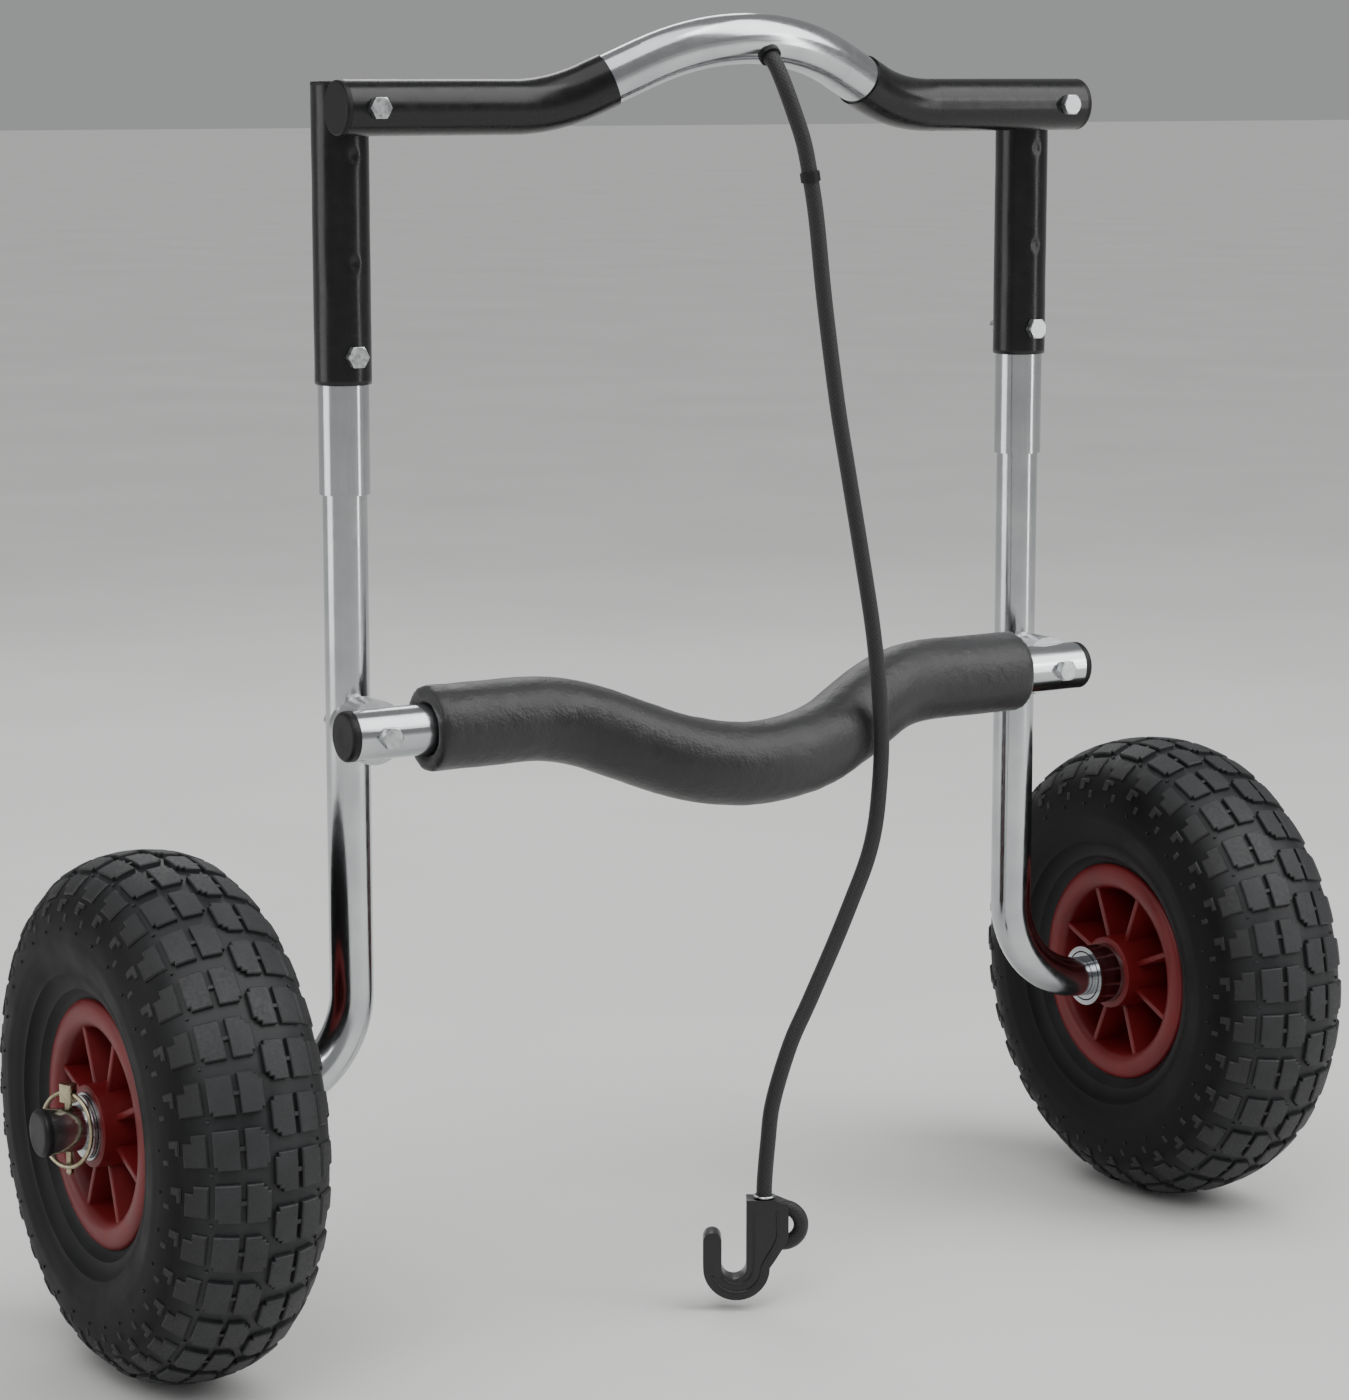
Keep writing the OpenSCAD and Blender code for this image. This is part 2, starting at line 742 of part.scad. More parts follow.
module roller_cages(side) {
    color("white") on_side(side) difference() {
        for (x0 = cage_starts) translate([x0, 0, axle_z]) rotate([0, 90, 0])
            linear_extrude(cage_len)
                ring_section(roller_ring_r + cage_wall / 2, roller_ring_r - cage_wall / 2);
        for (x0 = cage_starts) around_axle(x0 + cage_rim - loose_gap)
            rod_x(roller_d / 2 + loose_gap, 0, roller_len + 2 * loose_gap);
    }
}

module rollers(side) {
    color("lightgray") on_side(side)
        for (x0 = cage_starts) around_axle(x0 + cage_rim) rod_x(roller_d / 2, 0, roller_len);
}

// ---- Linch pins ----

module linch_pin(side) {
    color("goldenrod") on_side(side) translate([pin_x, 0, 0]) rotate([0, 0, -ring_turn])
        difference() {
            union() {
                rod(linch_d / 2, pin_tip_z + pin_point, lug_base_z + cut);
                translate([0, 0, pin_tip_z])
                    cylinder(r1 = linch_d / 4, r2 = linch_d / 2, h = pin_point);
                translate([0, 0, lug_base_z]) linear_extrude(lug_h) intersection() {
                    circle(r = lug_r);
                    square(lug_size, center = true);
                }
            }
            translate([0, 0, ring_top_z]) rod_y(ring_hole_r, -lug_size[1], lug_size[1]);
        }
}

module linch_ring(side) {
    color("goldenrod") on_side(side) translate([pin_x, 0, ring_top_z])
        rotate([0, 0, -ring_turn]) rotate([0, -ring_lean, 0]) translate([0, 0, -ring_r])
            rotate([0, 90, 0]) rotate_extrude() translate([ring_r, 0]) circle(d = ring_wire);
}

// ---- Cord and hook ----

function unit(v) = v / norm(v);
function blend(a, b, c, d, t) =
    0.5 * (2 * b + (c - a) * t + (2 * a - 5 * b + 4 * c - d) * t * t
    + (3 * b - a - 3 * c + d) * t * t * t);
cord_last = len(cord_route) - 1;
cord_line = [
    for (i = [0 : cord_last - 1]) for (k = [0 : cord_steps - 1])
        blend(cord_route[max(i - 1, 0)], cord_route[i], cord_route[i + 1],
              cord_route[min(i + 2, cord_last)], k / cord_steps),
    cord_route[cord_last]
];
cord_rings = len(cord_line);
function cord_dir(i) =
    unit(cord_line[min(i + 1, cord_rings - 1)] - cord_line[max(i - 1, 0)]);
function cord_side(i) = unit(cross([1, 0, 0], cord_dir(i)));

// Points z along its axis from one point to the next
module aim(from, to) {
    way = to - from;
    translate(from) rotate([0, acos(way[2] / norm(way)), atan2(way[1], way[0])]) children();
}

module cord_axis_place() {
    aim(grommet_inner, grommet_at) children();
}

module cord() {
    points = [for (i = [0 : cord_rings - 1]) for (k = [0 : cord_sides - 1])
        cord_line[i]
        + cord_r * cos(k * 360 / cord_sides) * cord_side(i)
        + cord_r * sin(k * 360 / cord_sides) * cross(cord_dir(i), cord_side(i))];
    sides = [for (i = [0 : cord_rings - 2]) for (k = [0 : cord_sides - 1])
        let (a = i * cord_sides + k, b = i * cord_sides + (k + 1) % cord_sides)
        [a, a + cord_sides, b + cord_sides, b]];
    first = [for (k = [0 : cord_sides - 1]) k];
    last = [for (k = [cord_sides - 1 : -1 : 0]) (cord_rings - 1) * cord_sides + k];
    color([0.08, 0.08, 0.08]) polyhedron(points, concat([first], sides, [last]));
}

// The knot that keeps the cord in the bar
module cord_knot() {
    color([0.08, 0.08, 0.08]) translate(knot_at) sphere(r = knot_r);
}

// A ring around the cord in the bar's wall
module cord_grommet() {
    color("black") difference() {
        cord_axis_place() rod(cord_r + grommet_wall, grommet_from, grommet_to);
        cord_axis_place() rod(cord_r + fit_gap, 0, grommet_to + cut);
    }
}

module cord_collar() {
    color("black") aim(collar_at, collar_below) difference() {
        rod(cord_r + collar_wall, -collar_len / 2, collar_len / 2);
        rod(cord_r + fit_gap, -collar_len, collar_len);
    }
}

module hook_place() {
    translate(hook_top) rotate([0, 0, hook_turn]) rotate([90, 0, 0]) children();
}

module cord_clip() {
    color("silver") hook_place() translate([0, clip_rise, 0]) rotate([90, 0, 0])
        rotate_extrude() translate([clip_ring_r, 0]) circle(r = clip_wire_r);
}

module cord_loop() {
    color([0.08, 0.08, 0.08]) hook_place() translate(loop_at) rotate([0, 0, -90])
        rotate_extrude(angle = 180) translate([loop_bend_r, 0]) circle(r = loop_r);
}

// Points along an arc about c, from angle a0 to a1
function arc(c, r, a0, a1) =
    let (n = ceil(abs(a1 - a0) / arc_step))
    [for (i = [0 : n]) let (a = a0 + (a1 - a0) * i / n) c + r * [cos(a), sin(a)]];

// The hook's outline in its own plane: down the shank, round the mouth, over the tip,
// round the outside and up the heel
module hook_outline() {
    polygon(concat(
        [[hook_left, 0]],
        arc(hook_mouth, hook_mouth_r, 0, -180),
        arc(hook_tip, hook_tip_r, 0, 180),
        arc(hook_curve, hook_curve_r, 180, 360),
        [hook_heel[1], hook_heel[0]],
        [[hook_right, -hook_chamfer[1]], [hook_right - hook_chamfer[0], 0]]
    ));
}

module hook() {
    color([0.1, 0.1, 0.1]) hook_place() difference() {
        linear_extrude(hook_t, center = true) hook_outline();
        rotate([90, 0, 0]) rod(cord_hole_r, -cut, cord_hole_depth);
        translate(loop_at) rotate([0, 0, -90]) rotate_extrude(angle = 180)
            translate([loop_bend_r, 0]) circle(r = loop_r + touch_gap);
    }
}

post(LEFT);  // left_post
post(RIGHT);  // right_post
post_sleeve(LEFT);  // left_post_sleeve
post_sleeve(RIGHT);  // right_post_sleeve
post_plug(LEFT);  // left_post_plug
post_plug(RIGHT);  // right_post_plug
leg(LEFT);  // left_leg
leg(RIGHT);  // right_leg
upper_crossbar();
bar_sleeve(LEFT);  // left_bar_sleeve
bar_sleeve(RIGHT);  // right_bar_sleeve
upper_cap(LEFT);  // left_upper_cap
upper_cap(RIGHT);  // right_upper_cap
lower_crossbar();
lower_cap(LEFT);  // left_lower_cap
lower_cap(RIGHT);  // right_lower_cap
foam_pad();
saddle(LEFT);  // left_saddle
saddle(RIGHT);  // right_saddle
upper_bar_bolts();
lower_bar_bolts();
leg_bolts();
upper_bar_nuts();
lower_bar_nuts();
leg_nuts();
nut_washers();
axle_cap(LEFT);  // left_axle_cap
axle_cap(RIGHT);  // right_axle_cap
stop_ring(LEFT);  // left_stop_ring
stop_ring(RIGHT);  // right_stop_ring
thrust_washer(LEFT);  // left_thrust_washer
thrust_washer(RIGHT);  // right_thrust_washer
tyre(LEFT);  // left_tyre
tyre(RIGHT);  // right_tyre
inner_tube(LEFT);  // left_inner_tube
inner_tube(RIGHT);  // right_inner_tube
valve_cap(LEFT);  // left_valve_cap
valve_cap(RIGHT);  // right_valve_cap
rim(LEFT);  // left_rim
rim(RIGHT);  // right_rim
hub_liner(LEFT);  // left_hub_liner
hub_liner(RIGHT);  // right_hub_liner
roller_cages(LEFT);  // left_roller_cages
roller_cages(RIGHT);  // right_roller_cages
rollers(LEFT);  // left_rollers
rollers(RIGHT);  // right_rollers
linch_pin(LEFT);  // left_linch_pin
linch_pin(RIGHT);  // right_linch_pin
linch_ring(LEFT);  // left_linch_ring
linch_ring(RIGHT);  // right_linch_ring
cord_grommet();
cord_knot();
cord();
cord_collar();
cord_clip();
cord_loop();
hook();
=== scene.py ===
# %% [markdown]
# # Beach cart
# A beach cart is two bent tube legs with air-filled wheels, held apart by two bowed
# crossbars. The upper bar is a handle, the lower one carries a foam pad in which the hull
# of a boat lies, and an elastic cord with a hook lashes the load down. The tubes, hubs,
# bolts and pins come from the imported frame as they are. This lesson adds what a plain
# mechanical model can't show: tread, moulded rims, foam, sleeves, the cord and the finishes.

# %% Load the frame
import json
import math
import bmesh
import bpy
import numpy as np
from mathutils import Matrix, Vector

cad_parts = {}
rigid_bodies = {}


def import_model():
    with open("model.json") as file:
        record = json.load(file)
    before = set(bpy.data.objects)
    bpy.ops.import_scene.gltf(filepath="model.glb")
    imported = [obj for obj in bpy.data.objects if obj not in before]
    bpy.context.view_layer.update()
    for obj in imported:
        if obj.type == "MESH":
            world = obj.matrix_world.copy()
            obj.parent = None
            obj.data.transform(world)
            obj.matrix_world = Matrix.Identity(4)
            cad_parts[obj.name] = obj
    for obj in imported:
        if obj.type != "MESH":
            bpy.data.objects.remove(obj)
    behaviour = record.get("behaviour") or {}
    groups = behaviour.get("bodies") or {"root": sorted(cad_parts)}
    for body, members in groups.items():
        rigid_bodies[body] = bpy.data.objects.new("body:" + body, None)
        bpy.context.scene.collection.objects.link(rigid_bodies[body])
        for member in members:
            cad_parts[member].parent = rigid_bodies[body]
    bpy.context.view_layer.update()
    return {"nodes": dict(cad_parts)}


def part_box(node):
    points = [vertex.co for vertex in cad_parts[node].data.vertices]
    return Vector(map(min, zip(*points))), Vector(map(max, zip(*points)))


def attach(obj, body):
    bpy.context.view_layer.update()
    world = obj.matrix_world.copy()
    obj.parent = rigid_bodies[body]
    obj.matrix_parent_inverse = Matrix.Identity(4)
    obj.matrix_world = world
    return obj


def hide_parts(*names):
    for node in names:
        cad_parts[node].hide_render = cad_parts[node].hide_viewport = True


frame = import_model()
nodes = frame["nodes"]
MM = 0.001
SIDES = {"left": -1, "right": 1}

# %% [markdown]
# ## The camera
# The camera stands in front of the cart and to its left, a little above the handle, and
# looks slightly down. A long lens keeps the posts nearly parallel.

# %% Camera
CAMERA_AT = (-1.030, -1.670, 0.630)
CAMERA_YAW = 31.3
CAMERA_PITCH = 9.3

bpy.ops.object.camera_add(
    location=CAMERA_AT,
    rotation=(math.radians(90 - CAMERA_PITCH), 0, math.radians(-CAMERA_YAW)),
)
camera = bpy.context.object
camera.name = "camera"
camera.data.lens = 98.2
camera.data.sensor_width = 36
camera.data.clip_start = 0.05
bpy.context.scene.camera = camera
print("camera at", [round(x, 3) for x in camera.location], "lens", camera.data.lens, "mm")


# %% [markdown]
# ## Helpers for editing
# An operator works on whatever is selected, and a freshly loaded model leaves everything
# selected. So each step first clears the selection and then picks faces by their place.

# %% Selection helpers
def only(piece):
    """Makes piece the one selected and active object."""
    for other in bpy.context.selected_objects:
        other.select_set(False)
    piece.select_set(True)
    bpy.context.view_layer.objects.active = piece


def edit_faces(piece, test):
    """Opens piece in edit mode with the faces selected whose centre and normal pass test."""
    only(piece)
    bpy.ops.object.mode_set(mode="EDIT")
    bpy.ops.mesh.select_mode(type="FACE")
    mesh = bmesh.from_edit_mesh(piece.data)
    for face in mesh.faces:
        face.select_set(bool(test(face.calc_center_median(), face.normal)))
    bmesh.update_edit_mesh(piece.data)
    return sum(face.select for face in mesh.faces)


def object_mode():
    """Leaves edit mode."""
    bpy.ops.object.mode_set(mode="OBJECT")


def clean(piece):
    """Merges doubled points and turns all faces outwards."""
    edit_faces(piece, lambda centre, normal: True)
    bpy.ops.mesh.remove_doubles(threshold=0.01 * MM)
    bpy.ops.mesh.normals_make_consistent(inside=False)
    object_mode()


def settle(piece, name):
    """Names a piece and puts its place into its mesh."""
    piece.name = name
    piece.data.name = name
    only(piece)
    bpy.ops.object.transform_apply(location=True, rotation=True, scale=True)
    return piece


def apply_all(piece):
    """Applies every modifier of the piece, in order."""
    only(piece)
    for modifier in list(piece.modifiers):
        bpy.ops.object.modifier_apply(modifier=modifier.name)


def smooth(piece, angle):
    """Shades smooth across edges that fold by less than angle, in degrees."""
    only(piece)
    bpy.ops.object.shade_smooth_by_angle(angle=math.radians(angle))


def join(parts, name):
    """Joins several objects into the first of them."""
    only(parts[0])
    for part in parts[1:]:
        part.select_set(True)
    bpy.ops.object.join()
    parts[0].name = name
    parts[0].data.name = name
    return parts[0]


def twin(piece, name):
    """A copy with a mesh of its own."""
    copy = piece.copy()
    copy.data = piece.data.copy()
    copy.name = name
    copy.data.name = name
    bpy.context.collection.objects.link(copy)
    return copy


# %% [markdown]
# ## Helpers for materials
# Colours are written as the hex values that a paint chart uses. The renderer calculates in
# linear light, so one function converts them. A second one adds a shader node with its
# settings and links, which keeps each material down to a few readable lines.

# %% Material helpers
def linear(code):
    """A hex colour as linear red, green, blue and alpha."""
    channels = [int(code[i:i + 2], 16) / 255 for i in (1, 3, 5)]
    return [c / 12.92 if c <= 0.04045 else ((c + 0.055) / 1.055) ** 2.4 for c in channels] + [1]


def add(tree, kind, inputs=None, **options):
    """Adds one shader node, sets its options, and sets or links its inputs."""
    node = tree.nodes.new("ShaderNode" + kind)
    for name, value in options.items():
        setattr(node, name, value)
    for name, value in (inputs or {}).items():
        if isinstance(value, bpy.types.NodeSocket):
            tree.links.new(value, node.inputs[name])
        else:
            node.inputs[name].default_value = value
    return node


def new_material(name):
    """An empty material: its node tree, its shader and the object's own coordinates."""
    material = bpy.data.materials.new(name)
    material.use_nodes = True
    tree = material.node_tree
    shader = tree.nodes["Principled BSDF"]
    place = add(tree, "TexCoord").outputs["Object"]
    return material, tree, shader, place


def set_shader(tree, shader, **inputs):
    """Sets or links the shader's sockets; an underscore stands for a space."""
    for name, value in inputs.items():
        socket = shader.inputs[name.replace("_", " ")]
        if isinstance(value, bpy.types.NodeSocket):
            tree.links.new(value, socket)
        else:
            socket.default_value = value


def spread(tree, value, low, high, from_low=0.3, from_high=0.7):
    """Spreads a pattern's middle values over the range low to high."""
    return add(tree, "MapRange", {
        "Value": value, "From Min": from_low, "From Max": from_high,
        "To Min": low, "To Max": high,
    }).outputs["Result"]


def tint(tree, value, dark, light, from_low=0.3, from_high=0.7):
    """Two colours mixed by a pattern."""
    mix = add(tree, "Mix", {"Factor": spread(tree, value, 0, 1, from_low, from_high)},
              data_type="RGBA")
    first_colour, second_colour, mixed_colour = mix.inputs[6], mix.inputs[7], mix.outputs[2]
    first_colour.default_value = linear(dark)
    second_colour.default_value = linear(light)
    return mixed_colour


def grain(tree, place, size_mm, detail=3, stretch=(1, 1, 1)):
    """A noise pattern whose lumps are size_mm across, stretched along the axes given."""
    mapped = add(tree, "Mapping", {"Vector": place, "Scale": [1 / s for s in stretch]})
    return add(tree, "TexNoise", {
        "Vector": mapped.outputs["Vector"], "Scale": 1 / (size_mm * MM), "Detail": detail,
    }).outputs["Fac"]


def bump(tree, height, depth_mm, normal=None):
    """A bump of the pattern, depth_mm deep, laid over another bump if one is given."""
    inputs = {"Height": height, "Distance": depth_mm * MM, "Strength": 1}
    if normal:
        inputs["Normal"] = normal
    return add(tree, "Bump", inputs).outputs["Normal"]


print("helpers ready")

# %% [markdown]
# ## The elastic cord
# The cord is a rubber core in a close black sheath. It comes out of the upper bar through a
# grommet, hangs in front of the foam and ends in a hook. Its centreline is one smooth curve
# through the points below. A ring of points carried along that curve makes the tube, and
# its own map (turns round, metres along) lets the sheath's pattern follow every bend.

# %% Cord route
CORD_D = 8.2 * MM
CORD_ROUTE = [Vector(point) * MM for point in (
    (6, -50, 645), (6, -56, 640), (7, -61.5, 634), (9, -65.5, 625), (13, -67.5, 613),
    (19, -68, 597), (23, -68, 580), (27, -68, 558), (32, -68, 518), (40, -68, 467),
    (47, -68.5, 430), (54, -69.5, 392), (60, -71, 356), (63, -72, 331), (65, -72.3, 310),
    (66, -72.3, 290), (65, -72.3, 269), (62.5, -72.3, 248), (57.5, -72.2, 230),
    (48, -72, 209), (38, -71.5, 188), (23, -71, 159), (12, -70.5, 138), (2, -70, 109),
    (-1, -70, 88), (-3, -70, 67), (-3, -70, 55), (-3, -70, 42),
)]


def through(points, steps):
    """A smooth curve through the points, with so many steps between neighbours."""
    curve = []
    for i in range(len(points) - 1):
        a, b = points[max(i - 1, 0)], points[i]
        c, d = points[i + 1], points[min(i + 2, len(points) - 1)]
        for k in range(steps):
            t = k / steps
            curve.append(0.5 * (2 * b + (c - a) * t + (2 * a - 5 * b + 4 * c - d) * t * t
                                + (3 * b - a - 3 * c + d) * t ** 3))
    return curve + [points[-1]]


def path_length(points):
    """The length along a row of points."""
    return sum((b - a).length for a, b in zip(points, points[1:]))


def sweep(name, points, radius, sides):
    """A tube along the points with flat ends and a map in turns and metres."""
    verts, faces, spots = [], [], []
    side = (points[1] - points[0]).orthogonal().normalized()
    along = 0
    for i, point in enumerate(points):
        way = (points[min(i + 1, len(points) - 1)] - points[max(i - 1, 0)]).normalized()
        side = (side - way * side.dot(way)).normalized()
        other = way.cross(side)
        along += (point - points[i - 1]).length if i else 0
        spots.append(along)
        for k in range(sides):
            turn = 2 * math.pi * k / sides
            verts.append(point + radius * (math.cos(turn) * side + math.sin(turn) * other))
    for i in range(len(points) - 1):
        for k in range(sides):
            a, b = i * sides + k, i * sides + (k + 1) % sides
            faces.append((a, b, b + sides, a + sides))
    faces.append(tuple(reversed(range(sides))))
    faces.append(tuple(range(len(verts) - sides, len(verts))))
    mesh = bpy.data.meshes.new(name)
    mesh.from_pydata(verts, [], faces)
    layer = mesh.uv_layers.new(name="along")
    for face in mesh.polygons:
        corners = [mesh.loops[n].vertex_index for n in face.loop_indices]
        columns = {v % sides for v in corners}
        wraps = 0 in columns and sides - 1 in columns
        for n, v in zip(face.loop_indices, corners):
            turn = (v % sides or (sides if wraps else 0)) / sides
            layer.data[n].uv = (turn, spots[v // sides])
    piece = bpy.data.objects.new(name, mesh)
    bpy.context.collection.objects.link(piece)
    smooth(piece, 50)
    return piece


cord_path = through(CORD_ROUTE, steps=5)
cord = sweep("elastic_cord", cord_path, CORD_D / 2, sides=20)

# %% [markdown]
# The hook is a moulded J with a broad flat shank. The frame's hook has the right outline and
# sharp edges. A copy has its loose triangles merged, its flat faces dissolved to outlines,
# and its rims rounded with a bevel. The bead round the outline is the parting rib.

# %% Soft-edged copy of the hook
hook = twin(nodes["hook"], "moulded_hook")
hook.parent = None
clean(hook)
edit_faces(hook, lambda centre, normal: True)
bpy.ops.mesh.dissolve_limited(angle_limit=math.radians(1))
object_mode()
bevel = hook.modifiers.new("rounding", "BEVEL")
bevel.width = 1.6 * MM
bevel.segments = 4
bevel.limit_method = "ANGLE"
bevel.angle_limit = math.radians(30)
apply_all(hook)
smooth(hook, 40)
print("hook:", len(hook.data.polygons), "faces, box",
      [round(size * 1000, 1) for size in hook.dimensions])

# %% Ribs and end loop of the hook
HOOK_TOP = Vector((-3, -70, 59)) * MM
HOOK_TURN = Matrix.Rotation(math.radians(-31), 3, "Z")
HOOK_FACE = 6  # from the hook's middle plane to either flat face, in millimetres
HOOK_CURVE = (-14.4, -36)  # centre of the bend, in the hook's plane


def on_hook(x, y, out=0):
    """A point of the hook's own plane, in millimetres, lifted out of it towards the front."""
    return HOOK_TOP + HOOK_TURN @ Vector((x * MM, -out * MM, y * MM))


def arc(centre, radius, start, stop, steps):
    """Points of an arc in the hook's plane."""
    turns = [math.radians(start + (stop - start) * i / steps) for i in range(steps + 1)]
    return [(centre[0] + radius * math.cos(t), centre[1] + radius * math.sin(t)) for t in turns]


outer_line = [(6.5, -6), (6.5, -20), (0.8, -31)] + arc(HOOK_CURVE, 13.0, 0, -160, 14)
inner_line = [(-5.5, -7), (-5.5, -34)] + arc(HOOK_CURVE, 8.6, 10, -150, 12)
hook_ribs = []
for name, line, radius_mm in (("outer", outer_line, 0.7), ("inner", inner_line, 0.5)):
    for out in (HOOK_FACE, -HOOK_FACE):
        points = through([on_hook(x, y, out) for x, y in line], steps=3)
        hook_ribs.append(sweep(f"{name}_rib", points, radius_mm * MM, sides=8))
hook = join([hook] + hook_ribs, "moulded_hook")
loop_line = [on_hook(x, y) for x, y in arc((9.5, -14.5), 9.5, -100, 100, 28)]
end_loop = sweep("cord_end_loop", loop_line, 3.9 * MM, sides=18)
print("hook ribs joined; loop of", round(path_length(loop_line) * 1000), "mm")

# %% [markdown]
# ## The tyres
# A small pneumatic tyre is a carcass with a tread of separate blocks moulded on it. Here one
# pitch of the tread is modelled lying flat: a pair of blocks joined by a bridge, a shoulder
# lug beside it, and the same again turned half round on the other side. The stepped inner
# edges leave a zigzag groove along the middle. An array repeats the pitch and the strip is
# wrapped round the carcass, so every block follows the crown.

# %% Tyre section
wheel_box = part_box("right_tyre")
TYRE_R = (wheel_box[1][2] - wheel_box[0][2]) / 2
TYRE_HALF = (wheel_box[1][0] - wheel_box[0][0]) / 2
WHEEL_X = (wheel_box[1][0] + wheel_box[0][0]) / 2
AXLE_Z = (wheel_box[1][2] + wheel_box[0][2]) / 2
BLOCK_H = 2.5 * MM
SECTION_R = TYRE_R - 39 * MM  # radius at which the tyre is widest
CROWN = TYRE_R - BLOCK_H - SECTION_R  # rise from there to the crown
FOOT = 41 * MM  # fall from there towards the axle
BEAD_ANGLE = math.radians(134)  # from the crown round to the bead
SIDE_FULLNESS = 0.92  # below 1 the section is squarer than an ellipse
CROWN_FULLNESS = 0.88
# The bead that the rim's flange holds, as (across, radius) in millimetres
BEAD = [(29.6, 58.0), (29.0, 54.0), (26.5, 51.8), (20.0, 51.4)]


def section(turn):
    """A point (across, radius) of the carcass; turn runs from 0 on the crown to +-1 at a bead."""
    angle = turn * BEAD_ANGLE
    across = abs(math.sin(angle)) ** SIDE_FULLNESS * TYRE_HALF
    upper = math.cos(angle) > 0
    rise = abs(math.cos(angle)) ** (CROWN_FULLNESS if upper else 1) * (CROWN if upper else -FOOT)
    return math.copysign(across, turn), SECTION_R + rise


samples = [section(turn) for turn in np.linspace(-1, 1, 801)]
spans = [math.dist(a, b) for a, b in zip(samples, samples[1:])]
arc_at = np.concatenate([[0], np.cumsum(spans)])
arc_at -= arc_at[-1] / 2
across_at = np.array([point[0] for point in samples])
radius_at = np.array([point[1] for point in samples])


def on_carcass(along_section, height):
    """The point (across, radius) at an arc length from the crown, height above the carcass."""
    x, r = (float(np.interp(along_section, arc_at, values)) for values in (across_at, radius_at))
    step = 0.4 * MM  # short enough to give the slope of the section
    dx = float(np.interp(along_section + step, arc_at, across_at)) - x
    dr = float(np.interp(along_section + step, arc_at, radius_at)) - r
    size = math.hypot(dx, dr) or 1
    return x - height * dr / size, r + height * dx / size


print("tyre:", round(TYRE_R * 2000), "x", round(TYRE_HALF * 2000), "mm, half section",
      round(float(arc_at[-1]) * 1000), "mm long")


# %% Turning a section into a ring
def turned(name, outline, steps):
    """Spins a closed outline of (across, radius) points once round the X axis."""
    bpy.ops.object.select_all(action="DESELECT")
    bpy.ops.mesh.primitive_circle_add(vertices=len(outline), radius=0.1)
    piece = bpy.context.object
    for vertex, (x, r) in zip(piece.data.vertices, outline):
        vertex.co = (x, 0, r)
    only(piece)
    bpy.ops.object.mode_set(mode="EDIT")
    bpy.ops.mesh.select_mode(type="EDGE")
    bpy.ops.mesh.select_all(action="SELECT")
    bpy.ops.mesh.spin(steps=steps, angle=2 * math.pi, center=(0, 0, 0), axis=(1, 0, 0))
    bpy.ops.mesh.select_all(action="SELECT")
    bpy.ops.mesh.remove_doubles(threshold=0.01 * MM)
    bpy.ops.mesh.normals_make_consistent(inside=False)
    object_mode()
    piece.name = name
    return piece


# %% Carcass with raised rings on the sidewalls
# Radius, width and height of each ring in millimetres: a line, the rim guard and a fine line
RAISED_RINGS = ((74.5, 1.2, 0.9), (66.0, 1.6, 1.1), (88.5, 0.9, 0.5))
RUBBER_T = 4.5 * MM
BEAD_INSIDE = (18.5 * MM, 55.5 * MM)
half = []
for turn in np.linspace(1, 0, 40):
    x, r = section(float(turn))
    for ring_r, width, height in RAISED_RINGS:
        x += math.exp(-(((r - ring_r * MM) / (width * MM)) ** 2)) * height * MM
    half.append((x, r))
half = [(x * MM, r * MM) for x, r in reversed(BEAD)] + half
outline = half + [(-x, r) for x, r in reversed(half[:-1])]
inside = []
for x, r in half[len(BEAD):]:
    lean = math.atan2(r - SECTION_R, x)
    inside.append((x - RUBBER_T * math.cos(lean), r - RUBBER_T * math.sin(lean)))
inside = [BEAD_INSIDE] + inside[3:]  # the first three would stand in the thick bead
outline += [(-x, r) for x, r in inside] + [(x, r) for x, r in reversed(inside[:-1])]
carcass = turned("carcass", outline, 160)
print("carcass:", len(carcass.data.polygons), "faces")

# %% [markdown]
# A tread block is a grid of squares whose lines sit where the block's steps are. The corner
# squares are deleted, what is left is extruded up, and the top rim gets a small bevel, as a
# mould leaves it.

# %% One tread block
PITCHES = 31
PITCH = 2 * math.pi * TYRE_R / PITCHES
ROOT = -0.6  # every block starts this far inside the carcass, in millimetres


def block(across, along, missing, top, edge=0.5):
    """A block on a flat strip, from grid lines in millimetres, without the missing cells."""
    bpy.ops.object.select_all(action="DESELECT")
    bpy.ops.mesh.primitive_grid_add(x_subdivisions=len(across) - 1,
                                    y_subdivisions=len(along) - 1, size=1)
    piece = bpy.context.object
    columns = len(across)
    for n, vertex in enumerate(piece.data.vertices):
        vertex.co = (across[n % columns] * MM, along[n // columns] * MM, ROOT * MM)

    def is_missing(centre):
        for i, j in missing:
            if (across[i] * MM < centre.x < across[i + 1] * MM
                    and along[j] * MM < centre.y < along[j + 1] * MM):
                return True
        return False

    if edit_faces(piece, lambda centre, normal: is_missing(centre)):
        bpy.ops.mesh.delete(type="FACE")
    bpy.ops.mesh.select_all(action="SELECT")
    bpy.ops.mesh.extrude_region_move(TRANSFORM_OT_translate={"value": (0, 0, (top - ROOT) * MM)})
    bpy.ops.mesh.region_to_loop()
    bpy.ops.mesh.bevel(offset=edge * MM, segments=1, affect="EDGES")
    bpy.ops.mesh.select_all(action="SELECT")
    bpy.ops.mesh.normals_make_consistent(inside=False)
    object_mode()
    return piece


def opposite(piece):
    """The same block turned half round, on the other side and half a pitch further on."""
    other = twin(piece, piece.name + "_b")
    other.data.transform(Matrix.Rotation(math.pi, 4, "Z"))
    other.data.transform(Matrix.Translation((0, BLOCK_L * MM + PITCH / 2, 0)))
    return other


